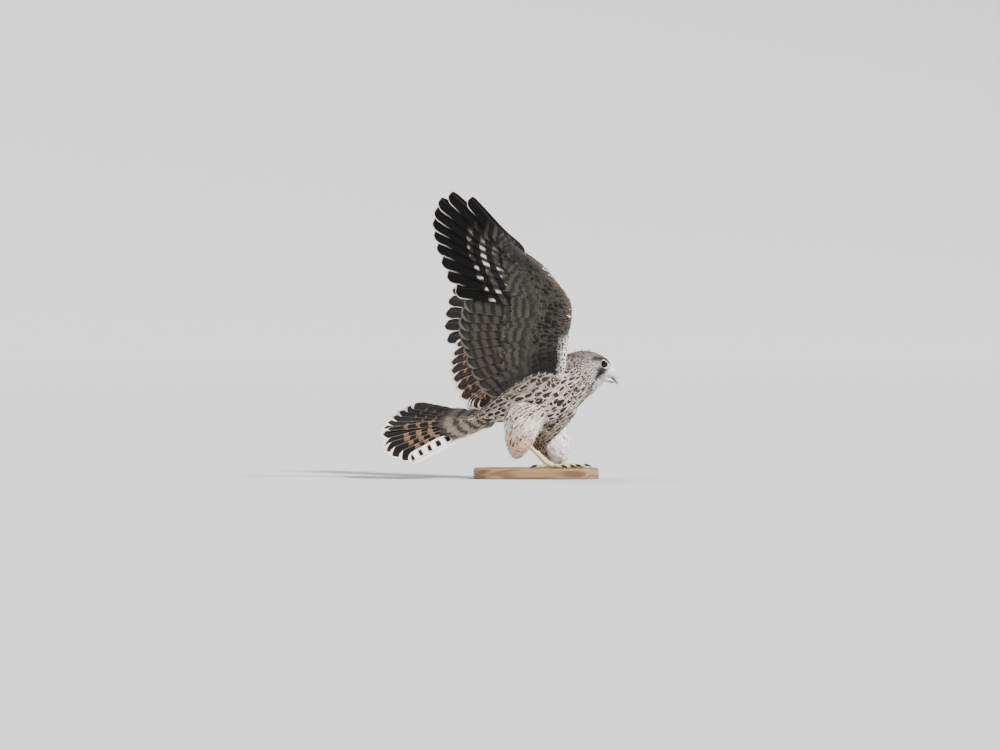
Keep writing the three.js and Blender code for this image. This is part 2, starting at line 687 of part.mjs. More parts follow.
function toMesh(name, solid) {
  const { vertProperties, triVerts, numProp } = solid.getMesh();
  const geometry = new THREE.BufferGeometry();
  const positions = new Float32Array((vertProperties.length / numProp) * 3);
  for (let i = 0; i < positions.length / 3; i++)
    for (let k = 0; k < 3; k++) positions[3 * i + k] = vertProperties[numProp * i + k];
  geometry.setAttribute('position', new THREE.BufferAttribute(positions, 3));
  geometry.setIndex(new THREE.BufferAttribute(triVerts, 1));
  geometry.computeVertexNormals();
  const kind = name.split('_')[0];
  const material = new THREE.MeshStandardMaterial({
    color: COLOURS[kind], roughness: POLISHED[kind] ?? 0.8, metalness: 0,
  });
  const mesh = new THREE.Mesh(geometry, material);
  mesh.name = name;
  return mesh;
}

const kestrel = new THREE.Group();
for (const [name, solid] of Object.entries(solids)) kestrel.add(toMesh(name, solid));

export default kestrel;
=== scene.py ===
"""A young common kestrel on a plain base, as a still, life-size model.

Sizes are in millimetres until a mesh is made, and heights of the bird are counted from
its soles. +X points to the bill, +Y to the bird's left, +Z up.
"""

import bpy
import numpy as np
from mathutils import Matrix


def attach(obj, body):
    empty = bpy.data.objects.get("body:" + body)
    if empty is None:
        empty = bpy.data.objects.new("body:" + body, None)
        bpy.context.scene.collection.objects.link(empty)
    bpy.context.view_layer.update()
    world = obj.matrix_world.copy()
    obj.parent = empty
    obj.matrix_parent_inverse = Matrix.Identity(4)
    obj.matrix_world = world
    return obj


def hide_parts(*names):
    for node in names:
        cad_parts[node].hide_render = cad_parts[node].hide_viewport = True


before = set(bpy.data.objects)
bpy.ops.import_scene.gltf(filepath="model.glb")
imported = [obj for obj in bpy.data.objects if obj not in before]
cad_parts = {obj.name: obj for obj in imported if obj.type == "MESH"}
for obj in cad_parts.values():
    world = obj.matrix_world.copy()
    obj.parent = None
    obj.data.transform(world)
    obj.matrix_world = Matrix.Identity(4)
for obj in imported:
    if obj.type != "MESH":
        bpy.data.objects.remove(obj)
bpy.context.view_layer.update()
rng = np.random.default_rng(7)


# Floor and light
# A pale floor that rises to a low wall all round, far off, with a soft key light from the
# front of the bird, a weak fill from its right side and a rim light from behind.
def mesh_object(name, points, faces, maps=None, colours=None):
    """A mesh from points in millimetres and arrays of faces of three or four corners,
    with UV maps and colour attributes given point by point."""
    faces = [np.asarray(f, np.int32) for f in (faces if isinstance(faces, list) else [faces])]
    corners = np.concatenate([f.ravel() for f in faces])
    sizes = np.concatenate([np.full(len(f), f.shape[1], np.int32) for f in faces])
    mesh = bpy.data.meshes.new(name)
    mesh.vertices.add(len(points))
    mesh.vertices.foreach_set("co", (np.asarray(points) * 0.001).astype(np.float32).ravel())
    mesh.loops.add(len(corners))
    mesh.loops.foreach_set("vertex_index", corners)
    mesh.polygons.add(len(sizes))
    starts = np.concatenate([[0], np.cumsum(sizes)[:-1]]).astype(np.int32)
    mesh.polygons.foreach_set("loop_start", starts)
    mesh.polygons.foreach_set("use_smooth", np.full(len(sizes), True))
    for key, uv in (maps or {}).items():
        layer = mesh.uv_layers.new(name=key)
        layer.data.foreach_set("uv", np.asarray(uv, np.float32)[corners].ravel())
    for key, rgba in (colours or {}).items():
        layer = mesh.color_attributes.new(key, "FLOAT_COLOR", "POINT")
        layer.data.foreach_set("color", np.asarray(rgba, np.float32).ravel())
    mesh.update(calc_edges=True)
    made = bpy.data.objects.new(name, mesh)
    bpy.context.scene.collection.objects.link(made)
    return made


def grid_faces(rows, columns, closed=False):
    """Faces of a sheet of points laid out row by row; closed joins the last column to
    the first."""
    r = np.arange(rows - 1)[:, None] * columns
    c = np.arange(columns if closed else columns - 1)[None, :]
    d = (c + 1) % columns
    return np.stack([r + c, r + d, r + columns + d, r + columns + c], -1).reshape(-1, 4)


def ring(count):
    """Angles once round, evenly spaced."""
    return np.linspace(0, 2 * np.pi, count, endpoint=False)


class Signal:
    """A value that runs between shader nodes. Each sum, difference or product of
    signals and numbers makes one Math node."""

    def __init__(self, paint, socket):
        self.paint, self.socket = paint, socket

    def __add__(self, other):
        return self.paint.math("ADD", self, other)

    def __mul__(self, other):
        return self.paint.math("MULTIPLY", self, other)

    def __sub__(self, other):
        return self.paint.math("SUBTRACT", self, other)

    def __rsub__(self, other):
        return self.paint.math("SUBTRACT", other, self)

    __radd__, __rmul__ = __add__, __mul__

    def beside(self):
        """All outputs of the node that this signal comes from, by name."""
        return {out.name: Signal(self.paint, out) for out in self.socket.node.outputs}


class Paint:
    """A material with short calls that make shader nodes and join them."""

    def __init__(self, name, **sockets):
        self.material = bpy.data.materials.new(name)
        self.material.use_nodes = True
        self.tree = self.material.node_tree
        self.surface = self.tree.nodes["Principled BSDF"]
        for key, value in sockets.items():
            self.surface.inputs[key.replace("_", " ")].default_value = value

    def node(self, kind, output=0, settings=None, **inputs):
        """A new node; its inputs are given by name, or by number as i0, i1 and so on."""
        made = self.tree.nodes.new("ShaderNode" + kind)
        for key, value in (settings or {}).items():
            setattr(made, key, value)
        for key, value in inputs.items():
            socket = made.inputs[int(key[1:]) if key[1:].isdigit() else key]
            if isinstance(value, Signal):
                self.tree.links.new(value.socket, socket)
            else:
                socket.default_value = value
        return Signal(self, made.outputs[output])

    def math(self, operation, a, b=0.0, c=0.0):
        """One Math node."""
        return self.node("Math", 0, {"operation": operation}, i0=a, i1=b, i2=c)

    def sine(self, value):
        """Sine of an angle in radians."""
        return self.math("SINE", value)

    def larger(self, a, b):
        """The larger of two numbers."""
        return self.math("MAXIMUM", a, b)

    def smaller(self, a, b):
        """The smaller of two numbers."""
        return self.math("MINIMUM", a, b)

    def step(self, value, low, high, to_low=0.0, to_high=1.0):
        """A smooth step from one value to another as the input passes low to high."""
        return self.node("MapRange", 0, {"interpolation_type": "SMOOTHSTEP"}, i0=value,
                         i1=low, i2=high, i3=to_low, i4=to_high)

    def between(self, share, a, b):
        """A number part of the way from a to b."""
        return self.node("Mix", 0, {"data_type": "FLOAT"}, i0=share, i2=a, i3=b)

    def mix(self, share, a, b, blend="MIX"):
        """A colour part of the way from a to b, or blended with it in another way."""
        return self.node("Mix", 2, {"data_type": "RGBA", "blend_type": blend}, i0=share,
                         i6=a, i7=b)

    def shaded(self, colour, shade):
        """A colour made darker or lighter by a number."""
        grey = self.node("CombineColor", 0, Red=shade, Green=shade, Blue=shade)
        return self.mix(1.0, colour, grey, "MULTIPLY")

    def place(self):
        """Places in the object's own frame, in metres."""
        return self.node("TexCoord", 3)

    def noise(self, scale, detail=3.0, where=None):
        return self.node("TexNoise", 0, Vector=where or self.place(), Scale=scale, Detail=detail)

    def split(self, name):
        """The four numbers of a colour attribute and its colour."""
        found = self.node("Attribute", 0, {"attribute_name": name})
        parts = self.node("SeparateColor", 0, Color=found).beside()
        return [parts["Red"], parts["Green"], parts["Blue"], found.beside()["Alpha"], found]

    def link(self, key, value):
        """Joins a signal to an input of the surface."""
        self.tree.links.new(value.socket, self.surface.inputs[key])

    def bump(self, height, strength, distance):
        self.link("Normal", self.node("Bump", Strength=strength, Distance=distance,
                                      Height=height))

    def on(self, made, slot, *replaced):
        """Gives a finished piece this material and hides the nodes it stands for. The slot is not
        used.
        """
        made.data.materials.clear()
        made.data.materials.append(self.material)
        if replaced:
            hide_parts(*replaced)
        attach(made, "root")
        return made


FLOOR_RADIUS, WALL_HEIGHT = 15, 3  # metres
bend = np.linspace(0, np.pi / 2, 14)[1:]
span = np.concatenate([np.linspace(0, FLOOR_RADIUS, 16),
                       FLOOR_RADIUS + WALL_HEIGHT * np.sin(bend)])
rise = np.concatenate([np.zeros(16), WALL_HEIGHT * (1 - np.cos(bend))])
turn = ring(64)
dish = np.stack([span[:, None] * np.cos(turn), span[:, None] * np.sin(turn),
                 rise[:, None] + 0 * turn], -1).reshape(-1, 3) * 1000
floor = mesh_object("floor", dish, grid_faces(len(span), 64, True))
pale = Paint("floor_paint", Base_Color=(0.56, 0.575, 0.59, 1), Roughness=0.9)
floor.data.materials.append(pale.material)


def lamp(name, azimuth, height, soft, power, tint):
    """A soft far light: its direction in degrees from +X towards +Y and above the
    floor, how wide it looks in degrees, and its strength."""
    data = bpy.data.lights.new(name, "SUN")
    data.angle, data.energy, data.color = np.radians(soft), power, tint
    made = bpy.data.objects.new(name, data)
    made.rotation_euler = (0, np.radians(90 - height), np.radians(azimuth))
    bpy.context.scene.collection.objects.link(made)


lamp("key", -30, 46, 12, 8.0, (1.0, 0.965, 0.9))
lamp("fill", -110, 35, 70, 0.3, (0.93, 0.96, 1.0))
lamp("rim", 130, 50, 30, 2.2, (1.0, 0.98, 0.95))
world = bpy.data.worlds.new("studio")
world.use_nodes = True
even = world.node_tree.nodes["Background"].inputs  # weak light from all round
even["Color"].default_value = (0.82, 0.88, 0.96, 1)
even["Strength"].default_value = 0.32
bpy.context.scene.world = world

# Camera
# A long lens on the bird's right side, almost level, so that 1.2 mm of the bird fill one
# of the picture's 1000 columns.
far, raised = 8.0, np.radians(0.7)
camera = bpy.data.objects.new("camera", bpy.data.cameras.new("camera"))
camera.data.sensor_width, camera.data.lens = 36.0, 36.0 * far / 1.2
camera.data.clip_start, camera.data.clip_end = 0.5, 60.0
camera.location = (-0.0432, -far * np.cos(raised), 0.1239 + far * np.sin(raised))
camera.rotation_euler = (np.pi / 2 - raised, 0, 0)
bpy.context.scene.collection.objects.link(camera)
bpy.context.scene.camera = camera


# Skin
# The bird's bare skin as one surface: body and head from a table of stations, both thighs
# and the flesh of both wings, joined by a voxel remesh. The coat hides nearly all of it.
SOLE = 12.3  # height of the soles over the floor
EYE = (81.8, 124.9 + SOLE, 11.4)  # x, height and distance from the middle plane
EYE_HOLLOW = 4.2  # width of the hollow that each eye sits in
VOXEL = 0.0011  # metres
# Stations from the tail to the lore: x and z of the back, x and z of the belly, half
# width, and how much wider the oval is towards the back (below nought: narrower).
BODY = np.array([
    [-72, 65, -66, 53, 6, 0], [-60, 75.5, -50.5, 55, 11, 0], [-47, 88, -33.5, 54.5, 20, 0],
    [-32.5, 101, -13, 53, 27, 0], [-15.5, 113, 9.5, 53, 32.5, 0], [0, 122, 29, 57.5, 34, 0],
    [15.5, 128.5, 47, 71, 32, 0], [31, 133, 62, 84.5, 27.5, 0], [42, 138, 71, 93, 23.5, -0.03],
    [53, 140.5, 77, 98.5, 21, -0.06], [63.5, 140.5, 80.5, 102, 19.5, -0.1],
    [74.5, 138, 83, 104, 17.8, -0.12], [84, 132.5, 85, 106, 14, -0.12],
    [89, 127.5, 86.8, 107.6, 8.8, -0.05], [91, 123.5, 88.4, 110.5, 4.5, 0]])


def along(table, u, before=None, after=None):
    """Rows of a table at any place u between them, by the Catmull-Rom rule, and straight
    on along `before` and `after` past its ends."""
    last = len(table) - 1
    v = np.clip(u, 0, last)
    i = np.minimum(v.astype(int), last - 1)
    t = (v - i)[..., None]
    a, b, c, d = (table[np.clip(i + k, 0, last)] for k in (-1, 0, 1, 2))
    rows = b + 0.5 * t * (c - a + t * (2 * a - 5 * b + 4 * c - d + t * (3 * (b - c) + d - a)))
    if before is not None:
        rows = rows + np.minimum(u, 0)[..., None] * np.array(before, float)
    if after is not None:
        rows = rows + np.maximum(u - last, 0)[..., None] * np.array(after, float)
    return rows


def stack(x, y, z):
    """Points from three arrays of coordinates."""
    return np.stack(np.broadcast_arrays(x, y, z), -1)


def bump(x, width):
    """A bell curve, 1 at nought and 0.37 at its width."""
    return np.exp(-((x / width) ** 2))


def folded(angle):
    """An angle round the body counted from the back, the same on both sides."""
    return np.abs((angle + np.pi) % (2 * np.pi) - np.pi)


def from_eye(place):
    """Distance of points from the middle of the eye, seen from the side."""
    return np.hypot(place[..., 0] - EYE[0], place[..., 2] - EYE[1])


def relief(u, angle):
    """How far the head stands out of its plain oval: brow, the hollow before the eye and
    the cheek."""
    a = folded(angle)
    brow = 1.5 * bump(u - 11.5, 0.8) * bump(a - np.radians(50), np.radians(12))
    lore = -1.2 * bump(u - 12.6, 0.5) * bump(a - np.radians(80), np.radians(22))
    return brow + lore + 0.8 * bump(u - 10.8, 0.9) * bump(a - np.radians(112), np.radians(24))


def body_at(u, angle, out):
    """Points of the body at station u, with the angle counted from the back round the
    right side: an oval between the back point and the belly point, grown by `out`."""
    rows = along(BODY, u, (9, 3.5, 12, 1, 0.6, 0), (4, -6, 2, 4, -4, 0))
    bx, bz, vx, vz, wide, narrow = np.moveaxis(rows, -1, 0)
    hx, hz = (bx - vx) / 2, (bz - vz) / 2
    out = out + relief(u, angle)
    up = np.cos(angle) * (1 + out / np.hypot(hx, hz))
    across = np.sin(angle) * (wide * (1 + narrow * np.cos(angle)) + out)
    return stack((bx + vx) / 2 + hx * up, -across, (bz + vz) / 2 + hz * up + SOLE)


# Side of each thigh, then level ovals from its top down: z, rear x, front x, half width
# and distance from the middle plane.
THIGHS = {
    "right": (-1, np.array([
        [88, -16, 20, 10, 15], [76, -33, 18, 14, 19], [66, -37, 14.5, 16, 21],
        [56, -37.8, 10, 16.5, 21], [45, -37, 4, 15.5, 20.5], [34, -35.5, -2.5, 13, 19.5],
        [23, -32.5, -8.5, 9.5, 18.5], [15, -29, -15.5, 5.5, 18], [12, -26, -20, 2, 18]], float)),
    "left": (1, np.array([
        [88, 6, 40, 10, 14], [76, 1, 43, 14, 18], [66, -2, 41, 16, 20], [54, -4, 38.5, 16.5, 20],
        [42, -4, 38, 15.5, 19.5], [30, -1, 38.8, 13, 18.5], [19, 6, 39.4, 10, 18],
        [10.5, 14, 37.5, 6.5, 18], [6.5, 20, 33, 3, 18]], float)),
    "between": (1, np.array([
        [80, 4, 52, 16, 0], [68, -2, 50, 16, 1], [58, -6, 42, 14, 3], [48, -8, 33, 12, 5],
        [38, -8, 24, 9.5, 7], [29, -6, 17, 6.5, 9], [21, -2, 12, 3.5, 10]], float)),
}


def thigh_at(name):
    """Points of a thigh, or of the belly feathers that hang between them: level ovals
    down a table, with the angle counted from ahead."""
    sign, table = THIGHS[name]

    def at(k, angle, out):
        rows = along(table, k, None, (-4, 1, -1, -0.5, 0))
        z, rear, front, half, side = np.moveaxis(rows, -1, 0)
        reach = np.maximum((front - rear) / 2 + out, 0.2)
        return stack((rear + front) / 2 + np.cos(angle) * reach,
                     sign * side + np.sin(angle) * np.maximum(half + out, 0.2), z + SOLE)
    return at


# Each wing lies in a plane from the shoulder: p forward, q up the wing, n out of its
# upper side. The left one is opened at the wrist and spread, then turned.
SHOULDER, WRIST = (33.6, 21, 118.8), (-1, 72)
WINGS = {
    "right": dict(mirror=1, hand=0, fan=1, arm=0, arm_fan=1, lowest=-50, turn=(8, 0, -8),
                  move=(0, 0, 0)),
    "left": dict(mirror=-1, hand=32.5, fan=1.59, arm=33.5, arm_fan=1.42, lowest=-24,
                 turn=(-55.7, -26, 6.6), move=(-2.3, 0, -2.2)),
}
# The flesh of a wing from shoulder to tip: p and q of its front edge, p and q of its
# rear line, half thickness, and how far its middle stands off the plane.
ARM = np.array([
    [-2, -20, -26, -30, 8, 10], [2, 0, -34, -16, 8, 0], [3.5, 18, -37, 2, 7.2, 0],
    [6, 40, -36, 22, 6.2, 0], [9.5, 54, -30, 40, 5.6, 0], [11, 68, -23, 54, 5.4, 0],
    [10, 80, -17, 66, 5, 0], [3.5, 92, -19, 77, 4.4, 0], [-8, 106.5, -27, 90, 3.8, 0],
    [-20, 121, -35, 104, 3.2, 0], [-32, 131, -43, 117, 2.6, 0], [-44, 139, -52, 131, 1.5, 0]])


def hand_point(p, q, wing):
    """Turns points of the hand about the wrist by as much as the wing is opened."""
    a, p, q = -np.radians(wing["hand"]), p - WRIST[0], q - WRIST[1]
    return (WRIST[0] + np.cos(a) * p - np.sin(a) * q,
            WRIST[1] + np.sin(a) * p + np.cos(a) * q)


def in_wing(wing, p, q, n):
    """Points of a wing's plane in space: hollowed below, turned about X, Y and Z and set
    at the shoulder."""
    n = n - 7 * (np.maximum(0, 10 - p - 0.25 * q) / 110) ** 2
    x, y, z = np.radians(wing["turn"])
    rx = np.array([[1, 0, 0], [0, np.cos(x), -np.sin(x)], [0, np.sin(x), np.cos(x)]])
    ry = np.array([[np.cos(y), 0, np.sin(y)], [0, 1, 0], [-np.sin(y), 0, np.cos(y)]])
    rz = np.array([[np.cos(z), -np.sin(z), 0], [np.sin(z), np.cos(z), 0], [0, 0, 1]])
    flat = stack(p, wing["mirror"] * n, q) @ (rz @ ry @ rx).T
    start = np.array([SHOULDER[0], -SHOULDER[1] * wing["mirror"], SHOULDER[2] + SOLE])
    return flat + start + wing["move"]


def arm_rows(wing):
    """The arm's table with the hand's rows turned as far as the wing is opened."""
    rows = ARM.copy()
    share = np.interp(np.arange(12), [5, 6, 7], [0, 0.5, 1])
    for a in (0, 2):
        p, q = hand_point(ARM[:, a], ARM[:, a + 1], wing)
        rows[:, a] += share * (p - ARM[:, a])
        rows[:, a + 1] += share * (q - ARM[:, a + 1])
    return rows


def arm_height(chord):
    """Share of the arm's half thickness at a share of its chord."""
    return np.interp(chord, [0, 0.03, 0.07, 0.13, 0.2, 0.32, 0.45, 0.75, 1],
                     [0, 0.42, 0.62, 0.86, 1, 0.98, 0.86, 0.52, 0.34])


def tube(rings):
    """Points and faces of a closed body from rings of points, drawn in to a small ring
    at both ends, which a fan of triangles closes."""
    middle = rings[[0, -1]].mean(1, keepdims=True)
    ends = middle + 0.02 * (rings[[0, -1]] - middle)
    rings = np.concatenate([ends[:1], rings, ends[1:]])
    rows, columns = rings.shape[:2]
    second = np.arange(1, columns - 1)
    lid = np.stack([second, second + 1, 0 * second], -1)
    far_lid = lid[:, ::-1] + (rows - 1) * columns
    return rings.reshape(-1, 3), [grid_faces(rows, columns, True), lid[:, ::-1], far_lid[:, ::-1]]


def join(parts):
    """Several sets of points and faces as one; faces are gathered by their corners."""
    points, faces, start = [], {3: [], 4: []}, 0
    for p, groups in parts:
        for f in groups if isinstance(groups, list) else [groups]:
            faces[f.shape[1]].append(f + start)
        points.append(p)
        start += len(p)
    return np.concatenate(points), [np.concatenate(f) for f in faces.values() if f]


flesh = body_at(np.linspace(-0.7, 14, 120)[:, None], ring(72)[None], -1.7)
y = flesh[..., 1]
y -= np.sign(y) * 6 * bump(from_eye(flesh), EYE_HOLLOW) ** 1.5 * (np.abs(y) > 4)
parts = [tube(flesh)]
for name, (_, table) in THIGHS.items():
    k = np.linspace(0, len(table) - 1, 50)[:, None]
    parts.append(tube(thigh_at(name)(k, ring(48)[None], -2.2)))
for wing in WINGS.values():
    rows = along(arm_rows(wing), np.linspace(0, 11, 90))
    c = np.concatenate([np.linspace(0, 1, 14) ** 1.6, np.linspace(1, 0, 14)[1:-1] ** 1.6])
    sign = np.concatenate([np.ones(14), -np.ones(12)])
    n = sign * arm_height(c) * (rows[:, 4:5] - 0.9) + rows[:, 5:6]
    p, q = (rows[:, i:i + 1] + (rows[:, i + 2:i + 3] - rows[:, i:i + 1]) * c for i in (0, 1))
    parts.append(tube(in_wing(wing, p, q, n)))
points, faces = join(parts)
skin = mesh_object("skin", points, faces)
remesh = skin.modifiers.new("one_skin", "REMESH")
remesh.mode, remesh.voxel_size, remesh.use_smooth_shade = "VOXEL", VOXEL, True
smooth = skin.modifiers.new("even", "SMOOTH")
smooth.factor, smooth.iterations = 0.5, 3
evaluated = skin.evaluated_get(bpy.context.evaluated_depsgraph_get())
skin_mesh = bpy.data.meshes.new_from_object(evaluated)
skin.modifiers.clear()
skin.data = skin_mesh


# Coat of body and head
# The small feathers over the skin, from tiny ones on the face to broad ones on back and
# flanks. Each is a shaft with two rows of barbs that lie on the body and point rearwards.
def tint(r, g, b):
    """A colour given in 0 to 255 as the eye sees it, as linear light."""
    return np.array([r, g, b]) ** 2.2 / 255 ** 2.2


def coded(colour, number):
    """Colours with one number beside each; either may be the same for all."""
    number = np.asarray(number, float)[..., None]
    many = np.broadcast_shapes(np.shape(colour)[:-1], number.shape[:-1])
    return np.concatenate([np.broadcast_to(colour, (*many, 3)),
                           np.broadcast_to(number, (*many, 1))], -1)


def plume(barbs, bends=(0.0, 0.55, 1.0), loose=0.5):
    """One feather's barbs, without size: t along the shaft, c across it, s along the
    barb, the barb's number and 0 for the shaft. Each side has `barbs` strips that leave
    the shaft forwards and end on an egg-shaped outline; one more strip ends the shaft."""
    rows, faces, n = [], {3: [], 4: []}, 0
    widths = np.interp(bends, [0, 0.5, 0.8, 1], [1, 1.1, 0.8 - 0.3 * loose, 0])
    for side in (-1, 1, 0):
        for i in range(barbs if side else 1):
            share = i / (barbs - 1)
            t0 = 0.03 + 0.9 * share if side else 0.84
            t1 = t0 + (1 - t0) * (0.34 + 0.6 * share) if side else 1.03
            end = side * (0.3 + 0.7 * np.clip(t1 / 0.42, 0, 1) ** 0.8) * np.sqrt(
                max(1 - (max(t1 - 0.5, 0) / 0.53) ** 2.4, 0.03))
            for s, w in zip(bends, widths):
                t = t0 + (t1 - t0) * s
                c = end * s ** 0.85
                reach = 0.56 * 0.9 / (barbs - 1) * w
                slope = 0.0 if side else 1.0
                for way in ((-1, 1) if w > 0 else (0,)):
                    rows.append((t + way * reach * (1 - slope), c + way * slope * 0.16 * w, s,
                                 n, 1 if side else 0))
            first = len(rows) - (2 * len(bends) - 1)
            for k in range(len(bends) - 2):
                a = first + 2 * k
                faces[4].append((a, a + 1, a + 3, a + 2))
            a = first + 2 * (len(bends) - 2)
            faces[3].append((a, a + 1, a + 2))
            n += 1
    rows += [(t, c, 0, n, 0) for t in (0, 0.5, 0.98) for c in (-0.05, 0.05)]
    a = len(rows) - 6
    faces[4] += [(a, a + 1, a + 3, a + 2), (a + 2, a + 3, a + 5, a + 4)]
    return np.array(rows, float), [np.array(f) for f in faces.values()], n + 1


def strewn(shape, length, width, ragged):
    """Places along and across the shaft of many feathers of one shape, with each barb a
    little longer or shorter and to one side by chance; also the chance values."""
    t, c, s, barb, sided = shape[0].T
    chance = rng.normal(0, 1, (3, len(length), shape[2]))[:, :, barb.astype(int)]
    run = length[:, None] * (t + ragged * 0.5 * chance[0] * s ** 2 * sided)
    across = width[:, None] / 2 * (c + ragged * chance[1] * s ** 1.5 * sided)
    return run, across, chance[2]


def feathers(shape, points, chance, home, patch, tone, mark):
    """Points, faces, places on the bake map and paint numbers of many feathers of one
    shape; each takes a patch of the map round its home."""
    t, c, s, _, sided = shape[0].T
    many, count = points.shape[:2]
    first = count * np.arange(many)[:, None, None]
    faces = [(f[None] + first).reshape(-1, f.shape[1]) for f in shape[1]]
    lay = np.stack(np.broadcast_arrays(t, c * 0.5 + 0.5, s * sided, chance * 0.15 + 0.5), -1)
    bake = home[:, None] + patch * np.stack([t - 0.5, c / 2], -1)[None]
    return (points.reshape(-1, 3), faces, bake.reshape(-1, 2), lay.reshape(-1, 4),
            np.repeat(tone, count, 0), np.repeat(mark, count, 0))


def coat_mesh(name, sets):
    """One piece from several sets of feathers."""
    points, faces = join([(part[0], part[1]) for part in sets])
    bake, lay, tone, mark = (np.concatenate([part[i] for part in sets]) for i in (2, 3, 4, 5))
    return mesh_object(name, points, faces, {"OFBake": bake},
                       {"Lay": lay, "Tone": tone, "Mark": mark})


def coat(name, at, flow, u, a, length, width, lie, base, rise, shape, tone, mark, home,
         ragged=0.12):
    """Feathers on a surface at(u, a, out), from roots at u, a. The lie is their turn
    from the way that `flow` gives along u; `base` and `rise` are the heights of root
    and tip. Tone holds colour and streak width, mark holds colour and share of bars,
    and home is the root's place on the unwrapped skin."""
    t, c, s, _, _ = shape[0].T
    tiny = 1e-3
    root = at(u, a, 0.0)
    per_u = np.linalg.norm(at(u + tiny, a, 0.0) - root, axis=-1) / tiny
    per_a = np.linalg.norm(at(u, a + tiny, 0.0) - root, axis=-1) / tiny
    run, across, chance = strewn(shape, length, width, ragged)
    curl = rng.normal(0, 1, (len(u), 1))
    across = across + 0.06 * length[:, None] * np.sin(2.2 * t) * curl
    cos, sin = np.cos(lie)[:, None], np.sin(lie)[:, None]
    du = flow * (run * cos - across * sin) / per_u[:, None]
    da = (run * sin + across * cos) / per_a[:, None]
    height = base[:, None] + rise[:, None] * t ** 0.8 + 0.25 * (1 - c ** 2) - 0.1
    height = height + 0.35 * ragged / 0.12 * np.abs(chance) * s ** 2 * rise[:, None]
    points = at(u[:, None] + du, a[:, None] + da, height)
    return coat_mesh(name, [feathers(shape, points, chance, home, 0.004, tone, mark)])


def feather_paint(name):
    """Feathers with a dark drop along the shaft or dark bars across, a paler fringe, a
    dark shaft and a slight change from barb to barb."""
    paint = Paint(name, Roughness=0.72, Specular_IOR_Level=0.3, Sheen_Weight=0.12)
    t, c, s, chance, _ = paint.split("Lay")
    width, tone = paint.split("Tone")[3:]
    barred, mark = paint.split("Mark")[3:]
    cloud = paint.noise(420.0, 2.0)
    y = paint.math("ABSOLUTE", c * 2.0 - 1.0)
    drop = paint.step(t, 0.2, 0.78) * paint.step(t, 1.0, 0.86)
    streak = paint.step(width * drop - y + cloud * 0.16 - 0.08, -0.06, 0.12)
    turns = t * (paint.larger(barred, 1.0) * 15.5)
    wave = paint.sine(turns - y * 1.3 - 0.6) - 0.6 + cloud * 1.2
    bar = paint.step(wave, -0.2, 0.25)
    colour = paint.mix(paint.between(paint.smaller(barred, 1.0), streak, bar), tone, mark)
    edge = paint.larger(paint.step(s, 0.72, 1.0), paint.step(t, 0.9, 1.0))
    pale = paint.mix(1.0, colour, (1.4, 1.38, 1.34, 1), "MULTIPLY")
    colour = paint.mix(edge * 0.5, colour, pale)
    colour = paint.shaded(colour, chance * 0.5 + cloud * 0.4 + 0.55)
    shaft = paint.step(y, 0.07, 0.03) * 0.35
    paint.link("Base Color", paint.mix(shaft, colour, (0.05, 0.035, 0.025, 1)))
    paint.bump(paint.sine((t - y * 0.22) * 150.0), 0.25, 0.0001)
    return paint


def blend(first, second, share):
    """Colours part of the way from the first to the second."""
    share = np.asarray(share)[..., None]
    return first * (1 - share) + second * share


def ramp(x, low, high):
    """A smooth step from 0 to 1 as x passes low to high."""
    x = np.clip((x - low) / (high - low), 0, 1)
    return x * x * (3 - 2 * x)


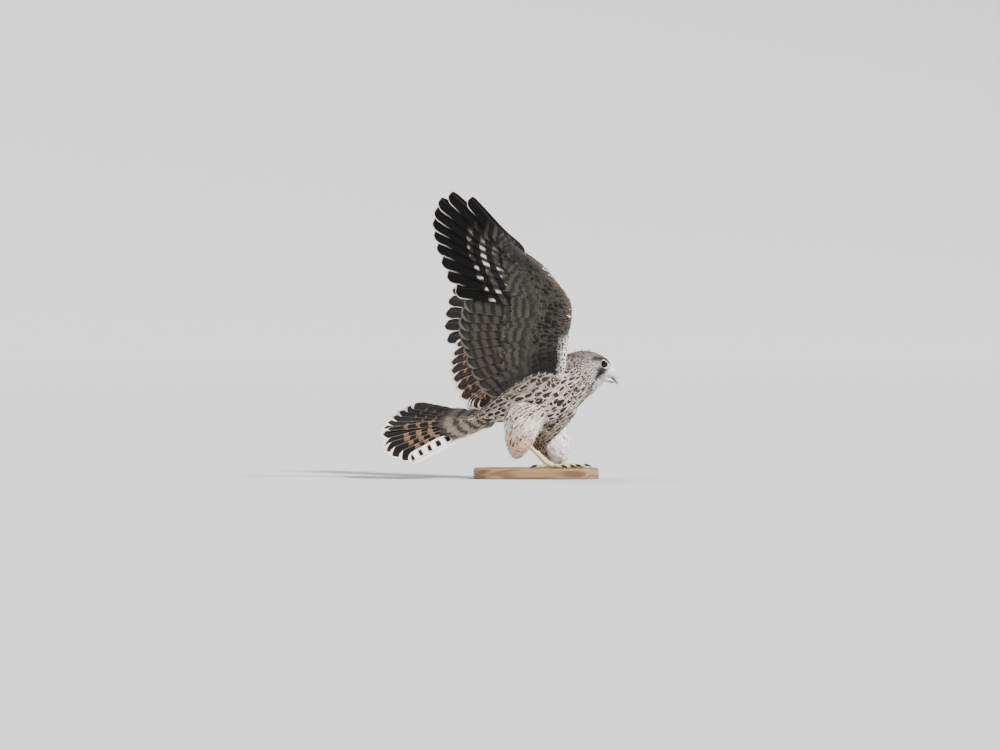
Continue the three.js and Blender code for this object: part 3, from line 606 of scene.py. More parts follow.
def plumage(u, angle):
    """Ground colour, streak width, mark colour and share of bars at a place on the
    body: a grey-brown streaked head with pale cheeks and a dark stripe below the eye,
    a barred red-brown back, and buff underparts with broad dark drops."""
    a = folded(angle)
    place = body_at(u, angle, 0.0)
    x, z = place[..., 0], place[..., 2] - SOLE
    low = ramp(a, 0.4, 0.75)
    back = blend(tint(120, 92, 75), tint(122, 111, 102), ramp(u, 5.5, 7.8))
    tone = blend(back, tint(168, 157, 147), low)
    tone = blend(tone, tint(230, 216, 202), ramp(a, 1.15, 1.7) * ramp(u, 9, 7))
    tone = blend(tone, tint(244, 236, 224), ramp(a, 2.0, 2.7) * ramp(u, 8, 5))
    # wider and darker drops on the front of the breast: partly its own denser streaks, partly painted
    # shade
    front = bump(x - 42, 20) * bump(z - 76, 20)
    mark = blend(blend(tint(32, 25, 22), tint(46, 37, 33), low), tint(24, 19, 17), front)
    width = 0.54 + 0.2 * front - 0.1 * ramp(a, 1.8, 2.7)
    width = width + 0.06 * ramp(u, 5.5, 7.5)
    tone = blend(tone, tone * 0.6, ramp(u, 1.6, -0.2) * ramp(a, 2.2, 1.6))
    bars = ramp(a, 0.62, 0.42) * ramp(u, 8.2, 6.8)
    head = ramp(u, 7.6, 9.4)
    crown = blend(tint(152, 144, 138), tint(140, 128, 119), ramp(a, 0.9, 0.2))
    side = blend(crown, tint(200, 193, 187), ramp(a, 1.0, 1.6))
    tone = blend(tone, side, head)
    mark = blend(mark, tint(46, 39, 35), head)
    width = width + (0.4 - width) * ramp(u, 8.6, 10.2)
    # pale patch on the side of the neck, cheek and chin
    away = np.hypot(x - 43, (z - 117) * 1.6)
    tone = blend(tone, tint(236, 216, 200), bump(away, 5.5))
    width = width * (1 - 0.8 * bump(away, 5.0))
    away = np.hypot((x - 70) * 0.8, (z - 111) * 1.2)
    tone = blend(tone, tint(236, 232, 226), bump(away, 8.5) * ramp(u, 9.0, 10.0))
    chin = ramp(a, 2.2, 2.7) * ramp(u, 8.6, 10.2)
    tone = blend(tone, tint(240, 236, 226), chin)
    width = width * (1 - 0.7 * chin)
    # stripe below the eye, line over and behind the eye, and lore
    line = np.interp(z, [101, 105, 109, 113, 117, 122], [72.4, 74.4, 76.8, 80.0, 81.4, 81.0])
    half = np.interp(z, [101, 105, 109, 111, 114, 119, 122], [0.7, 0.8, 1.1, 2.8, 5.2, 6.4, 5.0])
    stripe = np.exp(-np.abs((x - line) / half) ** 4) * ramp(z, 100, 103) * ramp(z, 124, 122)
    line = np.interp(x, [68, 73, 78, 82, 85, 87.5, 90, 93],
                     [130.8, 131.6, 131.8, 131.6, 130.6, 129.0, 126.4, 121.5])
    half = np.interp(x, [68, 73, 82, 88, 93], [1.5, 2.6, 2.2, 3.4, 3.6])
    brow = np.exp(-np.abs((z - line) / half) ** 4) * ramp(x, 69, 72.5)
    rusty = bump(z - 135 + 0.28 * (x - 80), 1.6) * ramp(x, 66, 74)
    tone = blend(tone, tint(186, 148, 120), 0.6 * rusty)
    dark = np.clip(np.maximum(stripe, 0.92 * brow), 0, 1)
    tone = blend(tone, tint(27, 24, 23), dark)
    lore = bump(np.hypot((x - 88) * 0.9, z - 117.0), 6.0) * (1 - dark)
    tone = blend(tone, tint(226, 229, 214), lore * 0.95)
    return tone, width * (1 - 0.9 * lore), mark, bars


def lengths(path):
    """Length of a path up to each of its points."""
    return np.concatenate([[0], np.cumsum(np.linalg.norm(np.diff(path, axis=0), axis=1))])


def scatter(at, u0, u1, spacing, beside=1.05):
    """Roots in staggered rows over a surface between two stations, each a little off
    its place; spacing is the distance between rows at a station, and `beside` times it
    the distance in a row."""
    us, angles = [], []
    u, row = u0, 0
    around = np.linspace(0, 2 * np.pi, 65)
    while u < u1:
        gap = spacing(u)
        path = at(np.full(65, u), around, 0.0)
        length = lengths(path)
        count = max(int(length[-1] / (gap * beside)), 4)
        stops = (np.arange(count) + 0.5 * (row % 2) + rng.uniform(-0.3, 0.3, count)) / count
        angles.append(np.interp(stops * length[-1], length, around))
        ahead = at(around * 0 + u + 0.01, around, 0.0)
        per_station = np.linalg.norm(ahead - path, axis=1).mean() / 0.01
        us.append(u + rng.uniform(-0.3, 0.3, count) * gap / per_station)
        u += gap / per_station
        row += 1
    return np.concatenate(us), np.concatenate(angles)


def head_at(u, angle, out):
    """Points of the body with the hollow that each eye sits in."""
    place = body_at(u, angle, out)
    hollow = 6 * bump(from_eye(place), EYE_HOLLOW) ** 1.5
    place[..., 1] *= 1 - hollow / np.maximum(np.abs(place[..., 1]), 9)
    return place


def body_home(u, a):
    """Place on the bake map of a root on the body."""
    return np.stack([(a / (2 * np.pi)) % 1, np.clip((u + 1) / 15.2, 0.002, 0.998)], -1)


def dress(name, u, a, length, shape, width, ragged, base=-1.5, rise=0.13, at=body_at):
    """A part of the body's coat from its roots and the length of its feathers."""
    tone, streak, mark, bars = plumage(u, a)
    value = 1 + rng.normal(0, 0.1, (len(u), 1))
    lie = rng.normal(0, 0.11, len(u))
    length = length * rng.uniform(0.88, 1.12, len(u))
    streak = streak * rng.uniform(0.65, 1.25, len(u))
    width = length * width * rng.uniform(0.9, 1.1, len(u))
    return coat(name, at, -1, u, a, length, width, lie, base + np.zeros(len(u)),
                np.minimum(rise * length, 1.9), shape, coded(tone * value, streak),
                coded(mark * value, bars), body_home(u, a), ragged)


broad, small = plume(16, (0.0, 0.35, 0.75, 1.0), 0.2), plume(8, loose=0.3)
coat_paint = feather_paint("body_feathers")

u, a = scatter(body_at, -0.4, 8.6, lambda v: np.interp(
    v, [-0.4, 1, 3, 5.5, 7, 8.6], [6.6, 9.5, 11.5, 9.8, 6.4, 4.0]), 0.56)
length = np.interp(u, [-0.5, 1, 3, 5.5, 7, 8.6], [15, 22, 26, 22, 14, 9])
length = length * np.where(folded(a) > 2.2, 0.85, 1.0)
coat_paint.on(dress("body_coat", u, a, length, broad, 0.48, 0.07), "plumage_body")
roots = [(u, a)]

u, a = scatter(body_at, 8.4, 13.9, lambda v: np.interp(
    v, [8.4, 9.5, 11, 12.5, 14], [2.6, 1.95, 1.45, 1.1, 0.85]))
place = body_at(u, a, 0.0)
gap = from_eye(place)
behind = np.clip((EYE[0] - place[:, 0]) / gap, 0, 1)
keep = (gap > 5.7 - 1.4 * behind) | (np.abs(place[:, 1]) < 6)
u, a, gap = u[keep], a[keep], gap[keep]
length = np.interp(u, [8.4, 9.5, 11, 12.2, 13, 14], [8.5, 7.0, 5.2, 3.6, 2.4, 1.7])
length = length * np.interp(gap, [5.3, 9, 14], [0.45, 0.75, 1.0])
head_coat = dress("head_coat", u, a, length, small, 0.45, 0.12,
                  -1.35 + 0.5 * ramp(gap, 9, 6), 0.15, head_at)
coat_paint.on(head_coat, "plumage_head")
roots.append((u, a))

stations = np.linspace(9, 13, 200)  # wisps of white nestling down on the crown
u = np.interp(np.repeat([57.5, 59.5, 65.0, 66.5, 72], 4),
              body_at(stations, 0.2, 0.0)[:, 0], stations)
u = u + rng.normal(0, 0.06, 20)
a = np.repeat([-0.25, -0.5, -0.2, 0.35, -0.7], 4) + rng.normal(0, 0.06, 20)
white = coded(tint(224, 219, 211), np.zeros(20))
down = coat("crown_down", body_at, -1, u, a, rng.uniform(2.6, 4.2, 20), rng.uniform(1.8, 2.6, 20),
            rng.normal(0, 0.9, 20), np.full(20, -0.9), rng.uniform(1.0, 2.4, 20), small,
            white, white, body_home(u, a), 0.5)
coat_paint.on(down, "plumage_head")

# the skin takes its colour from the feathers above it, a little darker
skin_paint = Paint("skin_paint", Roughness=0.8)
place = np.empty(len(skin.data.vertices) * 3, np.float32)
skin.data.vertices.foreach_get("co", place)
place = place.reshape(-1, 3) * 1000
u, a = (np.concatenate([r[k][::5] for r in roots]) for k in (0, 1))
anchors, tones = body_at(u, a, 0.0), plumage(u, a)[0]
nearest = np.concatenate([((part[:, None] - anchors[None]) ** 2).sum(-1).argmin(1)
                          for part in np.array_split(place, 80)])
layer = skin.data.color_attributes.new("Skin", "FLOAT_COLOR", "POINT")
layer.data.foreach_set("color", coded(tones[nearest] * 0.6, 1).astype(np.float32).ravel())
mottle = skin_paint.mix(skin_paint.noise(300.0), (0.7, 0.7, 0.7, 1), (1.1, 1.1, 1.1, 1))
colour = skin_paint.split("Skin")[4]
skin_paint.link("Base Color", skin_paint.mix(1.0, colour, mottle, "MULTIPLY"))
skin_paint.bump(skin_paint.noise(900.0), 0.3, 0.0003)
skin_paint.on(skin, "plumage_body", "head", "neck", "torso", "thigh_right", "thigh_left")


# Thighs and belly
# The long loose feathers of both thighs, which hang down and back over the heels, cream to
# peach with few fine dark drops and almost white on the left thigh, which is painted grey
# towards its rear as painted shade, and the streaked feathers of the belly that hang between
# them, painted grey and greyer towards the bottom as painted shade.
COAT_NAMES = {"right": "thigh_coat_right", "left": "thigh_coat_left", "between": "belly_coat"}
for name, piece in COAT_NAMES.items():
    at, last = thigh_at(name), len(THIGHS[name][1]) - 1
    k, a = scatter(at, 0.5, last - 0.25, lambda v: np.interp(v, [0, 5, 8], [4.2, 3.8, 2.6]))
    place = at(k, a, 0.0)
    count = len(k)
    x, z = place[:, 0], place[:, 2] - SOLE
    length = np.interp(k / last, [0, 0.4, 0.75, 1], [14, 18, 16, 11])
    length = length * rng.uniform(0.8, 1.2, count)
    step = np.linalg.norm(at(k + 0.01, a, 0.0) - place, axis=1) * 100
    length = np.minimum(length, np.maximum((last + 0.1 - k) * step, 5.5))
    mark = tint(70, 54, 45)
    if name == "right":
        warm = bump(z - 38, 20) * ramp(x, -38, -26) * ramp(x, 6, -4)
        tone = blend(tint(250, 244, 234), tint(240, 208, 180), warm)
        tone = blend(tone, tint(232, 218, 204), ramp(z, 66, 78))
        tone = blend(tone, tint(222, 206, 188), ramp(z, 30, 14) * 0.6)
        shown = rng.random(count) < np.interp(z, [15, 30, 60, 72], [0.15, 0.45, 0.45, 0.95])
        streak = np.interp(z, [55, 72], [0.32, 0.42]) * shown
        streak = streak * np.maximum(ramp(x, 12, 0), ramp(z, 60, 72))
    elif name == "left":
        # grey towards the rear: painted shade on the left thigh's inner side; the streaks there are
        # its own
        rear = ramp(x, 20, 10)
        tone = blend(tint(252, 251, 248), tint(176, 166, 154), rear)
        streak = (rng.random(count) < 0.12 + 0.6 * rear) * (0.2 + 0.3 * rear)
    else:
        # grey, and greyer towards the bottom: painted shade between the thighs; the dark streaks are
        # their own
        tone = blend(tint(206, 194, 180), tint(150, 138, 126), ramp(z, 60, 30))
        streak, mark = 0.5, tint(50, 42, 37)
    streak = streak * rng.uniform(0.7, 1.3, count)
    tone = tone * (1 + rng.normal(0, 0.035, (count, 1)))
    sweep = np.interp(z, [20, 60, 80], [0.3, 0.7, 0.9]) * np.sin(a)
    home = np.stack([(a / (2 * np.pi)) % 1, np.clip(k / (last + 0.4), 0.01, 0.99)], -1)
    made = coat(piece, at, 1, k, a, length, length * 0.42, rng.normal(0.0, 0.1, count) + sweep,
                np.full(count, -1.9), 0.13 * length * rng.uniform(0.8, 1.2, count), broad,
                coded(tone, streak), coded(mark, np.zeros(count)), home, 0.1)
    coat_paint.on(made, "plumage_body")


# Flight feathers
# Each flight feather is a closed thin vane of two faces with a raised shaft, tipped about
# the shaft so that it passes over the edge of its neighbour.
ACROSS = np.array([-1, -0.97, -0.84, -0.66, -0.46, -0.26, -0.1, 0,
                   0.1, 0.26, 0.46, 0.66, 0.84, 0.97, 1])  # stops across a vane


def flight(f, place, rows=40):
    """One feather's points, faces and the numbers for its paint. Its half width is
    narrow at the quill, full from the middle on and round at the tip; its kind goes
    into the paint."""
    far_end = 1 - (1 - np.linspace(0, 1, rows)) ** 1.5
    t = 0.03 + 0.97 * far_end
    base = 0.2 + 0.8 * ramp(t, 0.1, f.get("full", 0.6))
    taper = 1 + (f["taper"] - 1) * ramp(t, 0.35, 0.95)
    round_part = np.maximum(t - (1 - f["roundness"]), 0) / f["roundness"]
    end = np.sqrt(np.clip(1 - round_part ** 2, 0.0015, 1))
    half = f["width"] / 2 * base * taper * end
    seed = np.random.default_rng(int(1000 * f["length"] + 10 * f["angle"]) % 99991)
    nick = np.ones((rows, 2))
    for _ in range(3):  # a few splits between barbs
        at, side = seed.uniform(0.35, 0.92), seed.integers(2)
        nick[:, side] -= seed.uniform(0.03, 0.1) * bump(t - at, 0.008)
    nick += seed.normal(0, 0.008, nick.shape)
    t, v = t[:, None], ACROSS[None]
    way = np.where(v > 0, nick[:, 1:], nick[:, :1])
    tip = np.minimum(0.3, 0.95 / np.maximum(f["pitch"](t), 0.5)) * f.get("tipped", 1)
    reach = half[:, None] * v * way * np.where(v > 0, f["leading"], 2 - f["leading"])
    shaft = f["bow"] * f["length"] * t * (1 - t)
    wave = 0.12 * np.sin(9 * t + 7 * v + 40 * f["angle"]) * np.abs(v)
    middle = f["lift"] + tip * reach + f.get("arch", 0) * t ** 2 + wave
    thick = 0.21 * (1 - 0.7 * v ** 2) * np.minimum(1, 4 * (1.02 - t))
    quill = (1.15 - 0.95 * t) * 0.42
    reach = reach * (1 + f.get("heel", 0) * bump(t - 0.27, 0.16) * (v > 0))
    ridge = quill * np.exp(-(reach / np.maximum(quill * 1.6, 0.25)) ** 2)
    points, lay = [], []
    for side in (1, -1):
        height = middle + side * (thick + ridge)
        points.append(place(f["root"], f["angle"], f["length"] * t, shaft + reach, height))
        numbers = np.broadcast_arrays(t, v * 0.5 + 0.5, f["kind"], 0.5 + 0.5 * side)
        lay.append(np.stack(numbers, -1).reshape(-1, 4))
    n, wide = rows * len(ACROSS), len(ACROSS)
    rim = np.concatenate([np.arange(0, n, wide), np.arange(n - wide + 1, n),
                          np.arange(n - wide - 1, 0, -wide), np.arange(wide - 2, 0, -1)])
    after = np.roll(rim, -1)
    wall = np.stack([rim, after, after + n, rim + n], -1)
    faces = grid_faces(rows, wide)
    return (np.concatenate([p.reshape(-1, 3) for p in points]),
            [faces, faces[:, ::-1] + n, wall], np.concatenate(lay))


def fan(name, shapes, place, rows=40):
    """A group of flight feathers as one piece, each on its own strip of the bake map."""
    made = [flight(f, place, rows) for f in shapes]
    points, faces = join([(p, f) for p, f, _ in made])
    lay = np.concatenate([numbers for _, _, numbers in made])
    n = len(made)
    which = np.repeat(np.arange(n), [len(p) for p, _, _ in made])
    under = np.where(lay[:, 3] > 0.5, 0.25, -0.25)
    strip = (which + 0.5 + under + (lay[:, 1] - 0.5) * 0.42) / n
    bake = np.stack([strip, 0.01 + 0.98 * lay[:, 0]], -1)
    return mesh_object(name, points, faces, {"OFBake": bake}, {"Lay": lay})


def turned_by(angle, run, across):
    """How far points lie along and up from the root of a feather at an angle."""
    c, s = np.cos(np.radians(angle)), np.sin(np.radians(angle))
    return c * run - s * across, s * run + c * across


def wing_place(wing):
    """From a root and an angle above the backward line to points in space."""
    def place(root, angle, run, across, lift):
        back, up = turned_by(angle, run, across)
        return in_wing(wing, root[0] - back, root[1] + up, lift)
    return place


def mixed(a, b, share):
    """A number part of the way from a to b."""
    return a + (b - a) * share


# Angle in degrees and length of each feather of the closed wing.
PRIMARIES = [(11.6, 130), (16.6, 139), (20.9, 145), (25, 151), (28.6, 155), (31.8, 157),
             (35.3, 156), (39.3, 153), (44.2, 142), (49.6, 115)]
SECONDARIES = [(7.8, 119), (4, 119), (0.4, 119), (-3.1, 117), (-7.1, 113), (-11.6, 108),
               (-17.5, 105), (-24.9, 100), (-33, 96), (-40.2, 90)]
TERTIALS = [(-45, 84), (-43, 73), (-39, 60)]
FIRST_PRIMARY, FIRST_SECONDARY = PRIMARIES[0][0], SECONDARIES[0][0]


def wing_feathers(wing):
    """Primaries from the wrist outwards, secondaries inwards and three tertials."""
    def spread(angle, first, opened, opening):
        return first + opened + (max(angle, wing["lowest"]) - first) * opening

    hand, arm = [], []
    for i, (angle, length) in enumerate(PRIMARIES):
        share = i / 9
        outermost = i == 9
        hand.append(dict(
            root=hand_point(mixed(-1, -34, share), mixed(74, 121, share), wing),
            angle=spread(angle, FIRST_PRIMARY, wing["hand"], wing["fan"]), length=length,
            pitch=lambda t, n=length, s=share: (
                mixed(4.4, 1.2, s) + n * t * np.radians(4.2 * wing["fan"])),
            width=mixed(22, 18, share), leading=mixed(0.78, 0.5, share),
            taper=mixed(1.0, 0.82, share), roundness=0.085, bow=mixed(0.1, 0, share), lift=0,
            heel=0.75 * outermost, full=mixed(0.6, 0.25, outermost), kind=share))
    for i, (angle, length) in enumerate(SECONDARIES):
        share = i / 9
        arm.append(dict(
            root=(mixed(-1, -25, share), mixed(66, 29, share)), length=length,
            angle=spread(angle, FIRST_SECONDARY, wing["arm"], wing["arm_fan"]),
            pitch=lambda t, n=length: 3.8 + n * t * np.radians(5.2 * wing["arm_fan"]),
            width=23, leading=0.85, taper=0.97, roundness=0.12, bow=0.06, lift=0, kind=share))
    for i, (angle, length) in enumerate(TERTIALS):
        arm.append(dict(
            root=(-25 + 2 * i, 23 - 6 * i), length=length,
            angle=spread(angle, FIRST_SECONDARY, wing["arm"], wing["arm_fan"]) - 3 * i,
            pitch=lambda t: 5, width=24, leading=1, taper=0.95, roundness=0.3, bow=0, lift=0,
            kind=1))
    return hand, arm


def full(r, g, b):
    """A colour for a shader node, given as the eye sees it."""
    return (*tint(r, g, b), 1)


def vane_paint(name, kind):
    """Paint of flight feathers by place along and across the vane and by face: dark
    primaries with pale notches on the rear web and thin white tips, barred secondaries
    with broad pale tips, or barred red-brown tail feathers. The under faces of primaries
    and secondaries are painted a dark grey: painted shade over their pale undersides."""
    paint = Paint(name, Roughness=0.68, Specular_IOR_Level=0.14)
    t, c, share, upper, _ = paint.split("Lay")
    cloud, fine, patch = paint.noise(120.0), paint.noise(900.0, 2.0), paint.noise(90.0, 1.0)
    v = c * 2.0 - 1.0
    y = paint.math("ABSOLUTE", v)
    rear = paint.step(v, 0.08, -0.08)
    bent = t + y * (0.085 if kind == "primary" else 0.03) + cloud * 0.05
    edge = paint.larger(paint.step(y, 0.86, 1.0), paint.step(t, 0.965, 0.995))
    fringe = t + y * y * 0.07

    def bars(count, rough):
        """A wave with `count` turns along the vane, which patches push up and down."""
        return paint.sine(bent * (2 * np.pi * count)) - rough / 2 + patch * rough

    if kind == "primary":
        wave = bars(8.5, 1.2)
        bar = paint.step(wave, -0.1, 0.5)
        # on the under face the ground and the pale bars are dark greys: painted shade over the pale
        # underside
        ground = paint.mix(upper, full(38, 36, 35), full(15, 13, 13))
        light = paint.mix(upper, full(66, 62, 59), full(106, 77, 61))
        lens = paint.step(y, 0.56, 0.68) * paint.step(y, 0.93, 0.8) * bar
        notch = paint.step(t, 0.34, 0.46) * paint.step(t, 0.7, 0.62) * lens
        notch = notch * paint.step(patch, 0.46, 0.58) * paint.step(share, 0.85, 0.6)
        deep = paint.mix(paint.step(t, 0.4, 0.7), ground, full(15, 14, 14))
        colour = paint.mix(bar * paint.step(t, 0.74, 0.5) * rear, deep, light)
        colour = paint.mix(notch * (1.0 - upper) * rear, colour, full(206, 202, 196))
        tip = full(232, 228, 220)
        edge = paint.step(y, 0.86, 0.97) * paint.step(t, 0.8, 0.95, 0.0, 0.9)
        edge = paint.larger(edge, paint.step(t, 0.986, 0.996))
    elif kind == "secondary":
        wave = bars(10.5, 0.9)
        thin = paint.step(wave, 0.35, 0.75) * paint.step(y, 0.2, 0.45)
        bar = paint.between(upper, paint.step(wave, -0.5, 0.1), thin)
        # on the under face the dark, the pale bars and the tip are greys: painted shade over the pale
        # underside
        dark = paint.mix(upper, full(42, 40, 38), full(27, 23, 21))
        light = paint.mix(upper, full(66, 62, 59), full(106, 74, 57))
        colour = paint.mix(bar * paint.step(t, 0.95, 0.9), dark, light)
        tip = paint.mix(upper, full(92, 88, 84), full(222, 204, 184))
        edge = paint.larger(edge * 0.3, paint.step(fringe, 0.972, 0.99))
        edge = paint.larger(edge, paint.step(fringe, 0.968, 0.982) * upper)
    else:
        wave = bars(9, 0.9)
        level = paint.smaller(share, 0.5) * -2.6 + 0.78
        core = paint.step(y, 0.66, 0.4) * paint.step(share, 0.9, 0.05)
        bar = paint.larger(paint.step(wave - level, 0.12, -0.12), core * 0.94)
        # pale turns the outermost feather's ground white: painted light on that feather, under its
        # own dark spots
        pale = paint.step(share, 0.6, 0.95)
        ground, mark = paint.mix(pale, full(106, 78, 62), full(238, 232, 222)), full(15, 13, 13)
        oval = paint.step(wave, -0.05, -0.4) * paint.step(y, 0.95, 0.7)
        oval = oval * rear * paint.step(y, 0.1, 0.25)
        colour = paint.mix(paint.between(pale, bar, oval), ground, mark)
        band = paint.step(t, 0.8, 0.84) * paint.step(share, 0.9, 0.4)
        colour = paint.mix(band, colour, mark)
        tip = full(238, 228, 210)
        edge = paint.larger(edge * 0.12, paint.step(fringe, 0.965, 0.985))
    colour = paint.mix(edge, colour, tip)
    barbs = paint.sine((t - y * 0.07) * 900.0)
    colour = paint.shaded(colour, cloud * 0.5 + fine * 0.3 + barbs * 0.05 + 0.62)
    shaft = paint.step(y, 0.08, 0.04) * 0.5
    paint.link("Base Color", paint.mix(shaft, colour, full(70, 58, 50)))
    paint.bump(barbs, 0.35, 0.0001)
    return paint


primary_paint = vane_paint("primary_feathers", "primary")
secondary_paint = vane_paint("secondary_feathers", "secondary")
for name, wing in WINGS.items():
    hand, arm = wing_feathers(wing)
    for piece, vanes, paint, node in (("primaries", hand, primary_paint, "hand"),
                                      ("secondaries", arm, secondary_paint, "arm")):
        made = fan(f"{piece}_{name}", vanes, wing_place(wing))
        paint.on(made, "plumage_wing", f"wing_{name}_{node}")


# Wing coverts
# Rows of small feathers over the flesh of each wing and the bases of its flight feathers,
# on both faces: greater, median and lesser coverts, and tiny ones round the front edge.
def covert_angle(wing, k):
    """Which way the feathers point along the arm, in degrees above the backward line."""
    secondary = mixed(-40.2, FIRST_SECONDARY, ramp(k, 0.5, 5.5))
    inner = np.maximum(secondary, wing["lowest"]) - FIRST_SECONDARY
    inner = FIRST_SECONDARY + wing["arm"] + inner * wing["arm_fan"]
    outer = FIRST_PRIMARY + wing["hand"] + mixed(0, 36, ramp(k, 6, 10.5)) * wing["fan"]
    return mixed(inner, outer, ramp(k, 5.0, 7.0))


def cover(wing, sign, k, c, length, width, shape, tone, mark, base, rise, ragged=0.1):
    """Coverts with their roots at k, c on one face of a wing, in the plane of the wing:
    each leaves the flesh at its root's height and ends just over the flight feathers."""
    t, across_shaft, s, _, _ = shape[0].T
    run, across, chance = strewn(shape, length, width, ragged)
    r = along(arm_rows(wing), np.clip(k, 0, 11))
    front, rear = r[:, :2, None], r[:, 2:4, None]
    root = front + (rear - front) * c[:, None, None]
    angle = covert_angle(wing, k) + rng.normal(0, 3.0, len(k))
    back, up = turned_by(angle[:, None], run, across)
    chord = np.linalg.norm(rear - front, axis=1)
    way = (rear - front) / chord[:, None]
    place = c[:, None] + (up * way[:, 1] - back * way[:, 0]) / chord
    flesh = arm_height(np.clip(place, 0, 1)) * r[:, 4:5]
    over = np.maximum(flesh * (1 - ramp(place, 0.95, 1.35)), 2.2 * ramp(place, 0.6, 1.1))
    n = over + base + rise[:, None] * t ** 0.8 + 0.2 * (1 - across_shaft ** 2)
    n = n + 0.3 * np.abs(chance) * s ** 2 * rise[:, None]
    points = in_wing(wing, root[:, 0] - back, root[:, 1] + up, sign * n + r[:, 5:6])
    home = np.stack([0.02 + 0.96 * k / 11,
                     0.25 + 0.48 * (sign > 0) + 0.12 * np.clip(c, -1, 2)], -1)
    return feathers(shape, points, chance, home, 0.006, tone, mark)


def under_colours(k, c, edge):
    """Ground colour, streak width, mark colour and share of bars of the underwing:
    dark grey as painted shade over its pale feathers, darkest near the body as painted
    shadow at the wing's root, with darker drops, paler inwards, and a white edge at the
    shoulder."""
    count = len(k)
    # painted shade: a dark grey, darkest near the body where the wing's root lies in shadow, and a
    # little darker towards the tip
    tone = blend(tint(76, 72, 67), tint(42, 39, 37), ramp(k, 3.6, 1.8))
    tone = blend(tone, tint(62, 58, 55), ramp(k, 7.5, 9.5))
    tone = blend(tone, tint(80, 66, 56), edge * ramp(k, 3.0, 4.5))
    white = edge * ramp(k, 3.4, 2.6)
    tone = blend(tone, tint(232, 228, 220), white)
    mark = tint(15, 14, 14)
    if c > 0.6:
        tone = blend(tone, tint(68, 64, 61), 0.8 * ramp(k, 1.2, 3.0))
        mark = tint(38, 36, 34)
    shown = rng.random(count) < np.interp(k, [0, 2.5, 4, 7, 9, 11], [0.9, 0.85, 0.6, 0.5, 0.4, 0.2])
    streak = np.interp(k, [0, 2, 3.5, 6, 11], [0.26, 0.36, 0.58, 0.42, 0.2])
    streak = np.where(white > 0.4, 0.75, streak) * rng.uniform(0.7, 1.4, count) * shown
    return tone, streak, mark, 2.0 if c > 0.8 else (0.8 if c > 0.6 else 0.0)


def upper_colours(k, c):
    """The same of the upper face: red-brown with dark bars, darker on the hand."""
    tone = blend(tint(132, 94, 73), tint(80, 65, 56), ramp(k, 6, 8))
    tone = blend(tone, tint(84, 70, 60), ramp(c, 0.36, 0.1) * ramp(k, 2.0, 3.5))
    mark = blend(tint(50, 38, 32), tint(40, 34, 31), ramp(k, 6, 8))
    return tone, 0.4, mark, 1.0 if c > 0.3 else 0.35


# Rows from the greater coverts to the front edge: where the roots lie across the arm, how
# far apart along it, length at the body and at the wing tip.
ROWS = [(0.86, 4.6, 50, 50), (0.7, 4.8, 31, 27), (0.53, 5.0, 26, 20), (0.39, 4.8, 22, 16),
        (0.27, 4.2, 17, 12), (0.17, 3.5, 12, 8.5), (0.09, 2.8, 8.5, 6), (0.035, 2.2, 6.5, 5),
        (0.0, 2.0, 5, 4)]
for name, wing in WINGS.items():
    for sign, face in ((1, "upper"), (-1, "under")):
        sets = []
        stations = np.linspace(0.6, 10.9, 200)
        path = along(arm_rows(wing), stations)
        for c, spacing, inner, outer in ROWS:
            run = lengths(path[:, :2] + (path[:, 2:4] - path[:, :2]) * c)
            count = int(run[-1] / spacing)
            stops = (np.arange(count) + 0.5 + rng.uniform(-0.25, 0.25, count)) / count
            k = np.interp(stops * run[-1], run, stations)
            length = mixed(inner, outer, k / 11) * rng.uniform(0.92, 1.08, count)
            if c > 0.8:
                length = length * np.interp(k, [0.6, 2, 6, 7, 11], [0.7, 1, 1, 1.05, 0.75])
            width = np.minimum(length * 0.56, 17 if c > 0.8 else 13)
            if face == "under":
                tone, streak, mark, bars = under_colours(k, c, ramp(c, 0.14, 0.02))
            else:
                tone, streak, mark, bars = upper_colours(k, c)
            tone = tone * (1 + rng.normal(0, 0.07, (count, 1)))
            lift = (0.15 + 0.9 * ramp(c, 0.9, 0.2)) * np.minimum(1, 0.09 * length)
            sets.append(cover(wing, sign, k, c + rng.normal(0, 0.012, count), length, width,
                              broad if c > 0.2 else small, coded(tone, streak),
                              coded(mark, np.full(count, bars)), 0.1, lift))
        coat_paint.on(coat_mesh(f"coverts_{face}_{name}", sets), "plumage_wing")


# Alula and down
# Three short stiff feathers on the thumb of each wing, which lie along the front edge of
# the hand, and a few wisps of white nestling down left on the front edge.
for name, wing in WINGS.items():
    root, out = along(arm_rows(wing), np.array([7.4, 10.2]))
    angle = np.degrees(np.arctan2(out[1] - root[1], root[0] - out[0]))
    thumb = [dict(root=(root[0] - 2 - 2.2 * i, root[1] - 1 - i), angle=angle + 3 - 4 * i,
                  length=length, pitch=lambda t: 3, width=8.5, leading=0.6, taper=0.9,
                  roundness=0.3, bow=0.03, lift=3.6 - 0.7 * i, kind=0.95)
             for i, length in enumerate((38, 32, 25))]
    primary_paint.on(fan("alula_" + name, thumb, wing_place(wing), 24), "plumage_wing")
    white = coded(tint(246, 244, 240), np.zeros(18))
    sets = []
    for sign in (1, -1):
        k = np.repeat([4.8, 5.5, 8.4, 9.0, 9.15, 10.8], 3) + rng.normal(0, 0.08, 18)
        c = rng.uniform(-0.01, 0.05, 18)
        length, width = rng.choice([-2.8, 4.6, 3.0, 2.0], 18), rng.uniform(0.8, 1.5, 18)
        sets.append(cover(wing, sign, k, c, length, width, small, white, white, 0.3,
                          rng.uniform(0.8, 2.4, 18), 0.5))
    coat_paint.on(coat_mesh("wing_down_" + name, sets), "plumage_wing")


